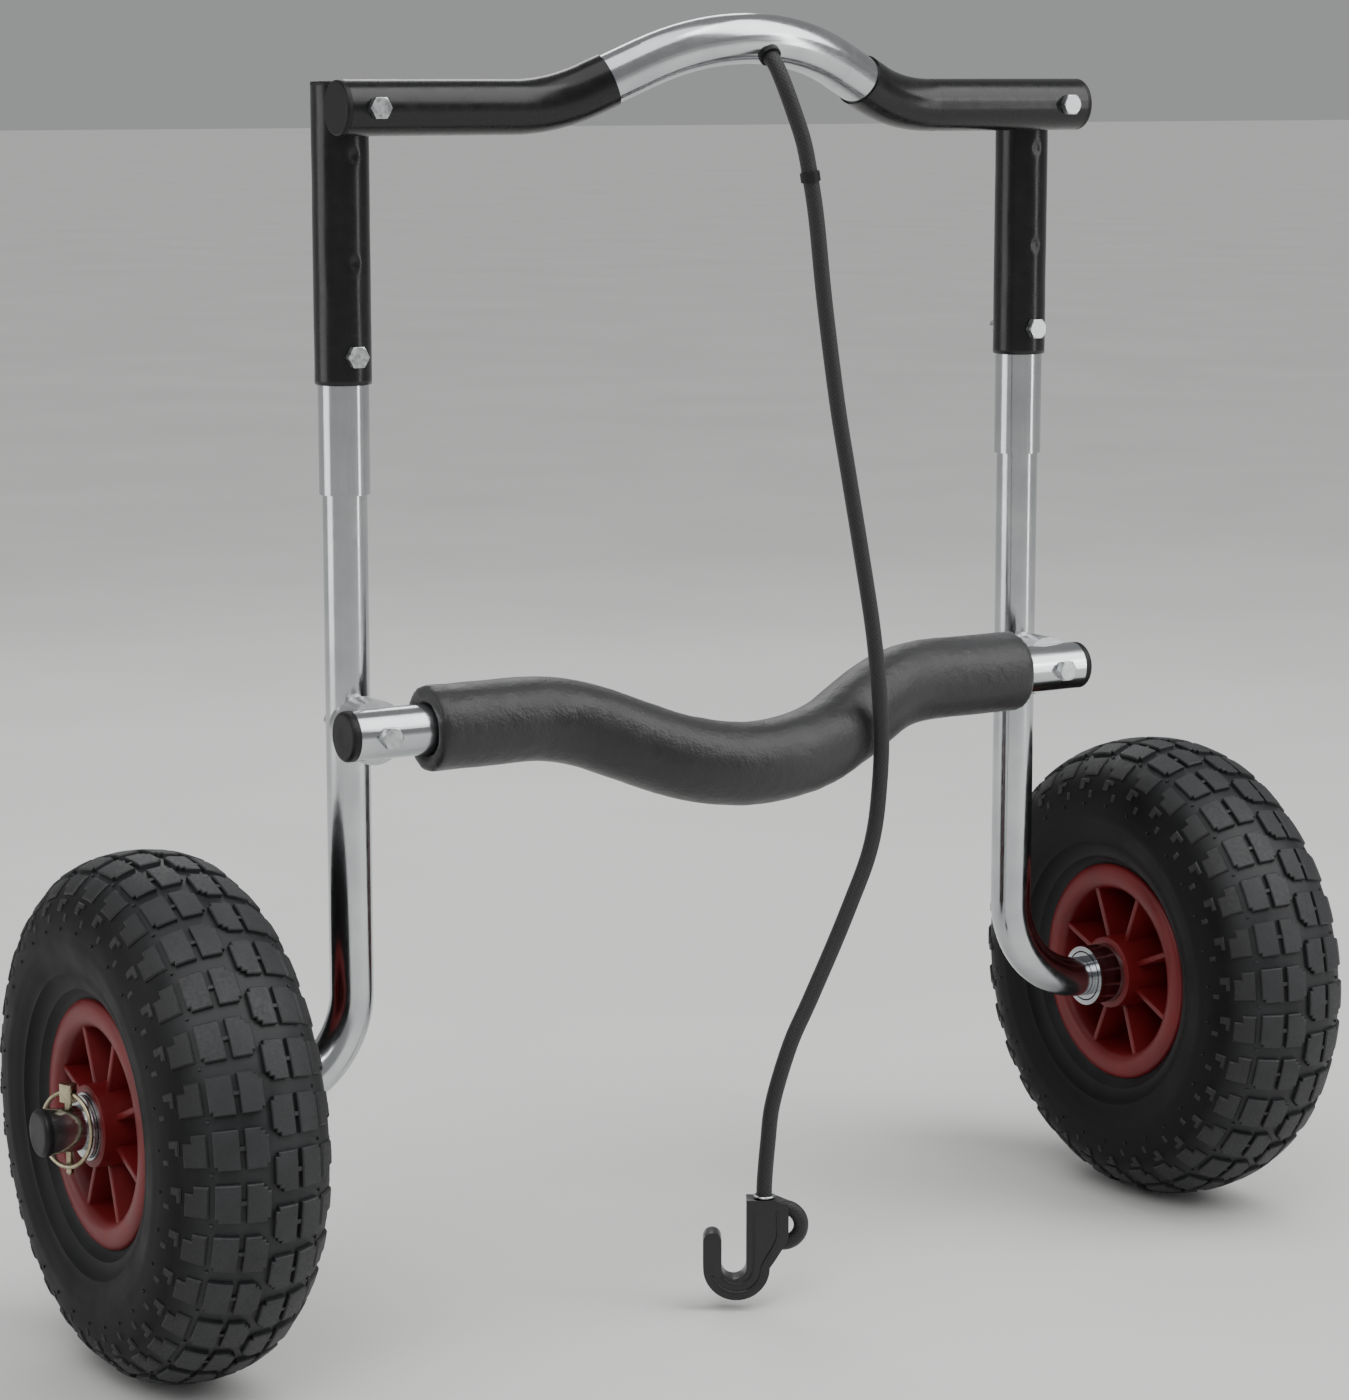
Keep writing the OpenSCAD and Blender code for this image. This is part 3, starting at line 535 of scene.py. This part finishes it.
# %% One pitch of the tread
# In order: the stepped inner block, the bridge, the outer block, the shoulder lug, two faint
# lugs on the sidewall, a nub left by a mould vent, and one on the tread.
BLOCK_L = 19.2
top = BLOCK_H / MM
rows = [0, 1.9, 3.9, 11, 17.2, BLOCK_L]
blocks = [
    block([1.2, 2.8, 4.8, 12.6], rows, [(0, 0), (0, 1), (1, 0), (0, 4)], top),
    block([12.2, 15.6], [8.2, 10.4], [], top - 0.9, 0.3),
    block([15.2, 18.6, 25.2, 26.8], rows, [(2, 4)], top, 0.6),
    block([29.4, 32.0, 37.0, 41.4], [0.8, 5, 9, 13.5, 18.0], [(2, 0)], top - 1.1, 0.9),
    block([43.4, 46, 49.5], [3.0, 8, 12], [(1, 1)], 0.9, 0.7),
    block([50.5, 54.5], [14.5, 18.0], [], 0.5, 0.5),
    block([57.5, 58.9], [9.0, 10.2], [], 0.8, 0.3),
    block([27.6, 29.0], [20.6, 22.0], [], top - 1.4, 0.3),
]
blocks += [opposite(piece) for piece in blocks]
tread = join(blocks, "tread")
print("one pitch:", len(tread.data.polygons), "faces,", round(PITCH / MM, 2), "mm long")

# %% Wrapping the tread round the carcass
array = tread.modifiers.new("round the wheel", "ARRAY")
array.count = PITCHES
array.use_relative_offset = False
array.use_constant_offset = True
array.constant_offset_displace = (0, PITCH, 0)
apply_all(tread)
for vertex in tread.data.vertices:
    x, r = on_carcass(vertex.co.x, vertex.co.z)
    turn = vertex.co.y / TYRE_R
    vertex.co = (x, r * math.sin(turn), r * math.cos(turn))
clean(tread)
highest = max(math.hypot(v.co.y, v.co.z) for v in tread.data.vertices)
print("tread:", len(tread.data.polygons), "faces, radius", round(highest * 1000, 2), "mm")

# %% [markdown]
# Tyre rubber is carbon black in a moulded, slightly waxy skin. The tread is worn dull and
# holds dust, and its colour is made a lighter grey for that dust and for a painted sheen. The
# sidewalls keep the mould's finish: darker, with a soft sheen. The lighter grey fades across
# the shoulder, so both materials measure how far a point lies from the wheel's middle plane.

# %% Rubber materials
# The band where the tread's dust and painted sheen fade out
DUST_AND_SHEEN_FROM, DUST_AND_SHEEN_TO = 26 * MM, 39 * MM  # the shoulder, measured from the wheel's middle plane


def dust_and_sheen(tree, place, pattern):
    """Dust and painted sheen lightening the skin: full on the tread, a trace on the sidewalls."""
    across = add(tree, "SeparateXYZ", {"Vector": place}).outputs["X"]
    out = add(tree, "Math", {0: across}, operation="ABSOLUTE").outputs[0]
    off = add(tree, "Math", {0: out, 1: WHEEL_X}, operation="SUBTRACT").outputs[0]
    reach = add(tree, "Math", {0: off}, operation="ABSOLUTE").outputs[0]
    tread_band = spread(tree, reach, 1, 0, DUST_AND_SHEEN_FROM, DUST_AND_SHEEN_TO)
    dust_and_sheen_level = spread(tree, pattern, 0.55, 1)
    trace = spread(tree, pattern, 0, 0.12)
    total = add(tree, "Math", {0: tread_band, 1: dust_and_sheen_level, 2: trace}, operation="MULTIPLY_ADD")
    return total.outputs[0]


# Rubbed tread: grey from dust and a painted sheen, no clear reflection
tread_rubber, tree, shader, place = new_material("rubbed tread rubber")
dust_and_sheen_clouds = grain(tree, place, 14, 4)
specks = grain(tree, place, 1.6, 3)
set_shader(tree, shader,
           Base_Color=tint(tree, dust_and_sheen(tree, place, dust_and_sheen_clouds), "#0a0a0b", "#222325", 0, 1),
           Roughness=spread(tree, specks, 0.5, 0.68),
           Normal=bump(tree, specks, 0.10))

# Moulded sidewall: close black with a waxy sheen, a trace of dust and painted sheen in it
sidewall_rubber, tree, shader, place = new_material("moulded sidewall rubber")
bloom = grain(tree, place, 22, 3)
skin = grain(tree, place, 0.9, 2)
skin_dust_and_sheen = dust_and_sheen(tree, place, bloom)
set_shader(tree, shader,
           Base_Color=tint(tree, skin_dust_and_sheen, "#070708", "#202123", 0, 1),
           Roughness=spread(tree, bloom, 0.46, 0.62),
           Specular_IOR_Level=spread(tree, skin_dust_and_sheen, 0.14, 0.45, 0, 1),
           Normal=bump(tree, skin, 0.04))
print("rubber ready")

# %% Joined tyres
def wheel_pair(right, left_name):
    """Puts a wheel's piece on the right axle and a copy of it on the left one."""
    left = twin(right, left_name)
    for piece, sign in ((left, -1), (right, 1)):
        piece.data.transform(Matrix.Translation((sign * WHEEL_X, 0, AXLE_Z)))
    return {"left": left, "right": right}


carcass.data.materials.append(sidewall_rubber)
tread.data.materials.append(tread_rubber)
tyre = join([carcass, tread], "right_block_tyre")
smooth(tyre, 32)
tyres = wheel_pair(tyre, "left_block_tyre")
print("tyres:", sum(len(face.vertices) - 2 for face in tyre.data.polygons), "triangles each")

# %% [markdown]
# ## The rims
# Each rim is one moulding: a hub cone, a middle web, a barrel that the tyre sits on, convex
# flanges and eight ribs on each face. The round part is one outline spun about the axle. The
# ribs are boxes with a little draft and softened edges, set between the hub and the barrel.

# %% Rim body
# Half the outline as (across, radius) in millimetres: hub, web, barrel and flange, then back
# under the tyre. The other half is its mirror image.
RIM_HALF = [
    (37.5, 16.6), (37.5, 19.0), (36.9, 20.0), (22.0, 21.0), (10.0, 22.0), (4.6, 23.4),
    (2.5, 26.0), (2.5, 40.0), (3.4, 42.2), (6.0, 44.0), (18.0, 45.6), (29.5, 47.2),
    (32.6, 48.8), (33.8, 51.4), (34.0, 54.5), (33.7, 57.6), (32.9, 59.8), (31.6, 61.0),
    (30.4, 61.1), (29.9, 60.0), (29.7, 57.0), (29.5, 53.0), (28.2, 51.2), (14.0, 50.7),
    (5.0, 49.8),
]
outline = [(x * MM, r * MM) for x, r in RIM_HALF]
outline += [(-x, r) for x, r in reversed(outline)]
rim_body = turned("rim_body", outline, 144)
print("rim body:", len(rim_body.data.polygons), "faces")


# %% Rim ribs
RIBS = 8
RIB_INNER_R, RIB_OUTER_R = 19.5 * MM, 49.0 * MM  # the ends stand inside hub and barrel
RIB_INNER_X, RIB_OUTER_X = 30.5 * MM, 31.2 * MM  # how far the rib reaches at either end
RIB_HALF_T = 1.6 * MM


def rib(turn):
    """One rib through the web, with rounded outer edges, from the hub to the barrel."""
    bpy.ops.object.select_all(action="DESELECT")
    bpy.ops.mesh.primitive_cube_add(size=1, location=(0, 0, 0))
    piece = bpy.context.object
    for vertex in piece.data.vertices:
        x, y, z = vertex.co
        reach, radius = (RIB_INNER_X, RIB_INNER_R) if z < 0 else (RIB_OUTER_X, RIB_OUTER_R)
        vertex.co = (math.copysign(reach, x), math.copysign(RIB_HALF_T, y), radius)
    edit_faces(piece, lambda centre, normal: abs(normal.x) > 0.9)
    bpy.ops.mesh.bevel(offset=0.9 * MM, segments=3, affect="EDGES")
    object_mode()
    piece.data.transform(Matrix.Rotation(turn, 4, "X"))
    return piece


ribs = [rib(math.radians((i + 0.5) * 360 / RIBS)) for i in range(RIBS)]
rim = join([rim_body] + ribs, "right_moulded_rim")
smooth(rim, 38)
rims = wheel_pair(rim, "left_moulded_rim")
print("rims:", len(rim.data.polygons), "faces each")

# %% [markdown]
# ## The foam pad
# The pad is a thick tube of closed-cell foam slipped over the lower bar before the bar was
# bolted on. Foam is never quite round: it bulges outside a bend, puckers inside it and gives
# way under a taut cord. The frame's plain solid is remeshed into even small faces, which can
# then move freely, and a coarse and a fine cloud pattern push the skin in and out.

# %% Foam pad
# The cord's dent is a smooth hollow round the point where the cord crosses the pad
CORD_TOUCH = Vector((66, -72.3, 290)) * MM
FOAM_FRONT = -50 * MM  # only skin in front of this plane can feel the cord
DENT_WIDE, DENT_TALL, DENT_DEEP = 16 * MM, 40 * MM, 1.6 * MM
foam = twin(nodes["foam_pad"], "foam_cradle")
foam.parent = None
clean(foam)
remesh = foam.modifiers.new("even skin", "REMESH")
remesh.mode = "VOXEL"
remesh.voxel_size = 2.6 * MM
relax = foam.modifiers.new("soft edges", "SMOOTH")
relax.factor = 0.5
relax.iterations = 2
for label, size_mm, depth_mm in (("lumps", 34, 1.1), ("pores", 7, 0.35)):
    clouds = bpy.data.textures.new(label, "CLOUDS")
    clouds.noise_scale = size_mm * MM
    push = foam.modifiers.new(label, "DISPLACE")
    push.texture = clouds
    push.texture_coords = "LOCAL"
    push.mid_level = 0.62
    push.strength = depth_mm * MM
apply_all(foam)
for vertex in foam.data.vertices:
    away = vertex.co - CORD_TOUCH
    across = math.hypot(away.x, away.y * 0.6)
    if vertex.co.y < FOAM_FRONT and across < DENT_WIDE and abs(away.z) < DENT_TALL:
        vertex.co.y += DENT_DEEP * (0.5 + 0.5 * math.cos(math.pi * across / DENT_WIDE))
smooth(foam, 60)
print("foam:", len(foam.data.polygons), "faces")

# %% [markdown]
# ## The post covers
# A thin black sleeve is shrunk over each post. It draws in a little over the adjusting holes
# that it covers, and it ends in a soft edge below the lowest bolt. The sleeve is a spun wall
# with closely spaced rings, and the points round each hidden hole are drawn inwards.

# %% Post sleeves
sleeve_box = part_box("right_post_sleeve")
POST_X = (sleeve_box[0].x + sleeve_box[1].x) / 2
SLEEVE_R = (sleeve_box[1].x - sleeve_box[0].x) / 2
SLEEVE_LOW, SLEEVE_HIGH = sleeve_box[0].z, sleeve_box[1].z
SLEEVE_T = 1.3 * MM
SOFT_EDGE = 0.5 * MM
HOLES_Z = (540 * MM, 591.5 * MM)  # heights of the holes that lie under the sleeve
HOLE_R = 4.6 * MM
HOLE_DENT = 0.8 * MM
RIPPLE = 0.12 * MM


def post_cover(name, side):
    """A spun sleeve with dents where the post has covered holes."""
    rows = int((SLEEVE_HIGH - SLEEVE_LOW) / (2 * MM))
    heights = [SLEEVE_LOW + SOFT_EDGE + (SLEEVE_HIGH - SLEEVE_LOW - SOFT_EDGE) * i / rows
               for i in range(rows + 1)]
    wall = [(SLEEVE_LOW, SLEEVE_R - SOFT_EDGE)] + [(z, SLEEVE_R) for z in heights]
    wall += [(SLEEVE_HIGH, SLEEVE_R - SLEEVE_T), (SLEEVE_LOW, SLEEVE_R - SLEEVE_T)]
    piece = turned(name, wall, 96)
    piece.data.transform(Matrix.Rotation(math.radians(-90), 4, "Y"))
    for vertex in piece.data.vertices:
        if math.hypot(vertex.co.x, vertex.co.y) < SLEEVE_R - 1.2 * MM:
            continue  # the inner wall stays round
        around = 3 * math.atan2(vertex.co.y, vertex.co.x) + vertex.co.z / (31 * MM)
        depth = max(0, RIPPLE * math.sin(vertex.co.z / (9 * MM)) * math.sin(around))
        for hole in HOLES_Z:
            near = math.hypot(vertex.co.x, vertex.co.z - hole) / HOLE_R
            if near < 1:
                depth += HOLE_DENT * (0.5 + 0.5 * math.cos(math.pi * near))
        shrink = 1 - depth / SLEEVE_R
        vertex.co.x *= shrink
        vertex.co.y *= shrink
    piece.data.transform(Matrix.Translation((side * POST_X, 0, 0)))
    smooth(piece, 50)
    return piece


sleeves = {side: post_cover(f"{side}_shrunk_sleeve", sign) for side, sign in SIDES.items()}
print("sleeves:", len(sleeves["left"].data.polygons), "faces each")

# %% [markdown]
# ## Metals
# The posts, legs and bars are drawn aluminium tube, polished bright: a mirror with fine
# lines along the tube that the drawing die leaves. The lines are a noise pattern stretched
# a long way in the tube's direction.

# %% Drawn aluminium
def drawn_aluminium(name, stretch):
    """Polished tube whose lines run along the axes in which the pattern is stretched."""
    material, tree, shader, place = new_material(name)
    lines = grain(tree, place, 0.8, 3, stretch)
    haze = grain(tree, place, 30, 3)
    set_shader(tree, shader,
               Base_Color=tint(tree, haze, "#b2b4b7", "#c6c8ca"),
               Metallic=1.0,
               Roughness=spread(tree, lines, 0.13, 0.22),
               Normal=bump(tree, lines, 0.003))
    return material


upright_aluminium = drawn_aluminium("drawn aluminium tube, upright", (1, 1, 40))
crosswise_aluminium = drawn_aluminium("drawn aluminium tube, crosswise", (40, 1, 1))
bent_aluminium = drawn_aluminium("drawn aluminium tube, bent", (6, 1, 6))
print("aluminium ready")

# %% Cast, ground and plated metal
# Cast aluminium from a fine sand mould: satin, with a slight grain
cast_aluminium, tree, shader, place = new_material("cast aluminium")
sand = grain(tree, place, 0.9, 4)
tone = grain(tree, place, 12, 3)
set_shader(tree, shader, Base_Color=tint(tree, tone, "#b9bbbc", "#d2d3d3"), Metallic=1.0,
           Roughness=spread(tree, tone, 0.30, 0.42), Normal=bump(tree, sand, 0.05))

# Bright zinc plate on the bolts: cool, with a faint cloudiness
zinc_plate, tree, shader, place = new_material("bright zinc plate")
cloud = grain(tree, place, 3, 3)
set_shader(tree, shader, Base_Color=tint(tree, cloud, "#a3a6a8", "#cfd1d2"), Metallic=1.0,
           Roughness=spread(tree, cloud, 0.22, 0.38), Normal=bump(tree, cloud, 0.03))

# Ground steel at the hubs: rings round the axle, which runs along X
ground_steel, tree, shader, place = new_material("ground steel")
rings = grain(tree, place, 1.0, 2, (1, 30, 30))
set_shader(tree, shader, Base_Color=tint(tree, rings, "#9b9da0", "#c2c4c6"), Metallic=1.0,
           Roughness=spread(tree, rings, 0.15, 0.24), Normal=bump(tree, rings, 0.003))

# Yellow passivated zinc on the linch pins: gold with a faint shift in colour
passivated_zinc, tree, shader, place = new_material("yellow passivated zinc")
shift = grain(tree, place, 5, 3)
set_shader(tree, shader, Base_Color=tint(tree, shift, "#93896d", "#bab197"), Metallic=1.0,
           Roughness=spread(tree, shift, 0.22, 0.4), Normal=bump(tree, shift, 0.02))

# Bright steel wire of the cord clip
bright_wire, tree, shader, place = new_material("bright steel wire")
pull = grain(tree, place, 1.2, 2)
set_shader(tree, shader, Base_Color=tint(tree, pull, "#b4b6b8", "#d9dadb"), Metallic=1.0,
           Roughness=spread(tree, pull, 0.14, 0.26), Normal=bump(tree, pull, 0.01))
print("metals ready")

# %% [markdown]
# ## Plastics, foam and cord
# The blacks differ in their skins. The sleeves are soft vinyl with a broad shine, the caps
# are moulded with a fine satin grain, the hook is glossier, and the foam shows a soft skin
# of small cells. The rims are a deep red moulding with a satin shine on the flanges.

# %% Plastics
# Soft vinyl: smooth and close, with long faint ripples
vinyl, tree, shader, place = new_material("soft black vinyl")
drape = grain(tree, place, 18, 2)
smear = grain(tree, place, 7, 3)
set_shader(tree, shader, Base_Color=tint(tree, smear, "#070708", "#0b0b0c"),
           Roughness=spread(tree, smear, 0.22, 0.30), Specular_IOR_Level=0.4,
           Normal=bump(tree, drape, 0.04))

# Moulded polyethylene caps: satin from the etched mould
moulded_cap, tree, shader, place = new_material("moulded black polyethylene")
etch = grain(tree, place, 0.7, 2)
wipe = grain(tree, place, 9, 3)
set_shader(tree, shader, Base_Color=tint(tree, wipe, "#0a0a0b", "#121213"),
           Roughness=spread(tree, wipe, 0.38, 0.52), Specular_IOR_Level=0.3,
           Normal=bump(tree, etch, 0.03))

# Moulded nylon hook: glossier, with flow marks
hook_nylon, tree, shader, place = new_material("moulded black nylon")
flow = grain(tree, place, 6, 3, (1, 1, 3))
set_shader(tree, shader, Base_Color=tint(tree, flow, "#0e0e0f", "#18181a"),
           Roughness=spread(tree, flow, 0.24, 0.4), Normal=bump(tree, flow, 0.04))

# Natural nylon of the roller cages: milky and slightly translucent
cage_nylon, tree, shader, place = new_material("natural nylon")
milk = grain(tree, place, 4, 2)
set_shader(tree, shader, Base_Color=tint(tree, milk, "#cfcbbd", "#e2dfd3"),
           Roughness=spread(tree, milk, 0.36, 0.5), Subsurface_Weight=0.15)

# Smooth butyl of the inner tubes
butyl, tree, shader, place = new_material("black butyl rubber")
talc = grain(tree, place, 8, 4)
set_shader(tree, shader, Base_Color=tint(tree, talc, "#141414", "#2c2c2c"),
           Roughness=spread(tree, talc, 0.5, 0.75))

# Red polypropylene: deep colour, a satin shine and a faint orange-peel skin
red_rim, tree, shader, place = new_material("moulded red polypropylene")
batch = grain(tree, place, 26, 3)
peel = grain(tree, place, 1.4, 2)
set_shader(tree, shader, Base_Color=tint(tree, batch, "#5c0e12", "#6c1518"),
           Roughness=spread(tree, batch, 0.36, 0.48), Specular_IOR_Level=0.35,
           Normal=bump(tree, peel, 0.02))
print("plastics ready")

# %% Foam and braided cord
# Closed-cell foam: a soft skin of cells about 1.3 mm across, with a few broad dents
foam_skin, tree, shader, place = new_material("closed-cell foam skin")
cells = add(tree, "TexVoronoi", {"Vector": place, "Scale": 1 / (1.3 * MM)}).outputs["Distance"]
patches = grain(tree, place, 24, 4)
dents = grain(tree, place, 6, 3)
set_shader(tree, shader, Base_Color=tint(tree, patches, "#111112", "#18181a"),
           Roughness=spread(tree, patches, 0.38, 0.48),
           Normal=bump(tree, cells, 0.10, bump(tree, dents, 0.5)),
           Sheen_Weight=0.15)

# The cord's sheath: twelve strands braided each way, seen as small diamonds. The map runs in turns
# round the cord and metres along it, so the braid keeps its size on every bend.
cord_sheath, tree, shader, place = new_material("braided black polyester")
STRANDS_ROUND = 12
STRAND_PITCH = 2.4 * MM
along_cord = add(tree, "UVMap", uv_map="along").outputs["UV"]
split = add(tree, "SeparateXYZ", {"Vector": along_cord})
strands = []
for lean in (1, -1):
    turns = add(tree, "Math", {0: split.outputs["X"], 1: STRANDS_ROUND * lean},
                operation="MULTIPLY")
    climb = add(tree, "Math", {0: split.outputs["Y"], 1: 1 / STRAND_PITCH, 2: turns.outputs[0]},
                operation="MULTIPLY_ADD")
    angle = add(tree, "Math", {0: climb.outputs[0], 1: 2 * math.pi}, operation="MULTIPLY")
    strands.append(add(tree, "Math", {0: angle.outputs[0]}, operation="SINE").outputs[0])
braid = add(tree, "Math", {0: strands[0], 1: strands[1]}, operation="MAXIMUM").outputs[0]
set_shader(tree, shader, Base_Color=tint(tree, braid, "#0c0c0d", "#161617", -0.2, 1.0),
           Roughness=spread(tree, braid, 0.7, 0.5, -0.2, 1.0),
           Normal=bump(tree, braid, 0.07), Sheen_Weight=0.1)
print("foam and cord ready")


# %% [markdown]
# ## Giving every piece its finish
# The frame's own parts keep their shapes and only change their material. The new pieces take
# theirs in the same way, ride on the body they belong to and stand for the plain solids.

# %% Finishes of the frame's parts
def dress(piece, material):
    """Puts one material on the whole piece."""
    if piece.material_slots:
        for slot in piece.material_slots:
            slot.material = material
    else:
        piece.data.materials.append(material)


finishes = {
    "post": upright_aluminium, "leg": bent_aluminium, "post_sleeve": vinyl,
    "bar_sleeve": vinyl, "post_plug": moulded_cap, "upper_cap": moulded_cap,
    "lower_cap": moulded_cap, "axle_cap": moulded_cap, "valve_cap": moulded_cap,
    "saddle": cast_aluminium, "stop_ring": ground_steel, "thrust_washer": zinc_plate,
    "hub_liner": ground_steel, "rollers": ground_steel, "roller_cages": cage_nylon,
    "tyre": sidewall_rubber, "inner_tube": butyl, "rim": red_rim,
    "linch_pin": passivated_zinc, "linch_ring": passivated_zinc,
}
for side in SIDES:
    for part, material in finishes.items():
        dress(nodes[f"{side}_{part}"], material)
shared = {
    "upper_crossbar": crosswise_aluminium, "lower_crossbar": crosswise_aluminium,
    "foam_pad": foam_skin, "upper_bar_bolts": zinc_plate, "lower_bar_bolts": zinc_plate,
    "leg_bolts": zinc_plate, "upper_bar_nuts": zinc_plate, "lower_bar_nuts": zinc_plate,
    "leg_nuts": zinc_plate, "nut_washers": zinc_plate, "cord": moulded_cap,
    "cord_knot": moulded_cap, "cord_loop": moulded_cap, "cord_grommet": moulded_cap,
    "cord_collar": moulded_cap, "hook": hook_nylon, "cord_clip": bright_wire,
}
for part, material in shared.items():
    dress(nodes[part], material)
print(len(finishes) * 2 + len(shared), "parts finished")

# %% Bodies of the new pieces and the parts they stand for
new_pieces = [
    (hook, "frame", ["hook"], "hook_black", hook_nylon),
    (end_loop, "frame", ["cord_loop"], "cord_black", cord_sheath),
    (cord, "frame", ["cord"], "cord_black", cord_sheath),
    (foam, "frame", ["foam_pad"], "foam", foam_skin),
]
for side in SIDES:
    new_pieces += [
        (tyres[side], f"{side}_wheel", [f"{side}_tyre"], "tyre_rubber", None),
        (rims[side], f"{side}_wheel", [f"{side}_rim"], "red_rim", red_rim),
        (sleeves[side], "frame", [f"{side}_post_sleeve"], "black_cover", vinyl),
    ]
for piece, body, stands_for, slot, material in new_pieces:
    if material:
        dress(piece, material)
    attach(piece, body)
    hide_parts(*stands_for)
print(len(new_pieces), "new pieces placed")

# %% [markdown]
# ## Floor and light
# A plain pale floor, a broad soft light from above, a key lamp high on the left in front, a
# wide lamp on the left and a narrow upright one on the right. The upright lamps give the
# long streaks along the tubes. A large softbox high on the right in front is the one that
# the level black sleeves and the foam reflect, as a broad band along their upper side.

# %% Floor
bpy.ops.object.select_all(action="DESELECT")
bpy.ops.mesh.primitive_plane_add(size=80, location=(0, 0, -0.0004))
floor = bpy.context.object
settle(floor, "floor")
floor_paint, tree, shader, place = new_material("pale matt floor")
wear = grain(tree, place, 400, 3)
set_shader(tree, shader, Base_Color=tint(tree, wear, "#d3d3d1", "#dadad8"),
           Roughness=spread(tree, wear, 0.85, 0.95))
dress(floor, floor_paint)


# %% Lamps and sky
def lamp(name, place, aim, size, power):
    """A square soft lamp that faces the point aim."""
    bpy.ops.object.light_add(type="AREA", location=place)
    light = bpy.context.object
    light.name = name
    light.data.shape = "RECTANGLE"
    light.data.size, light.data.size_y = size
    light.data.energy = power
    light.visible_camera = False
    light.rotation_euler = (Vector(aim) - Vector(place)).to_track_quat("-Z", "Y").to_euler()
    return light


lamp("key_lamp", (-1.5, -1.5, 1.9), (0, 0, 0.3), (0.9, 1.2), 16)
lamp("left_wall", (-2.2, 0.8, 0.75), (0, 0, 0.4), (1.3, 1.7), 15)
lamp("right_strip", (1.75, -1.95, 0.75), (0, 0, 0.4), (0.3, 1.6), 9)
lamp("right_softbox", (1.2, -1.15, 2.2), (0, 0, 0.5), (1.8, 2.4), 50)
lamp("back_lamp", (0.6, 1.9, 1.7), (0, 0, 0.35), (1.4, 0.8), 12)
bpy.ops.object.light_add(type="SUN", location=(-0.6, -0.8, 3.0))
sky_light = bpy.context.object
sky_light.name = "overhead_light"
sky_light.data.energy = 1.2
sky_light.data.angle = math.radians(55)
sky_light.rotation_euler = (math.radians(16), math.radians(-12), 0)
world = bpy.data.worlds.new("studio")
bpy.context.scene.world = world
world.use_nodes = True
world.node_tree.nodes["Background"].inputs["Color"].default_value = linear("#d9dadb")
world.node_tree.nodes["Background"].inputs["Strength"].default_value = 0.46
print("floor and lamps ready")
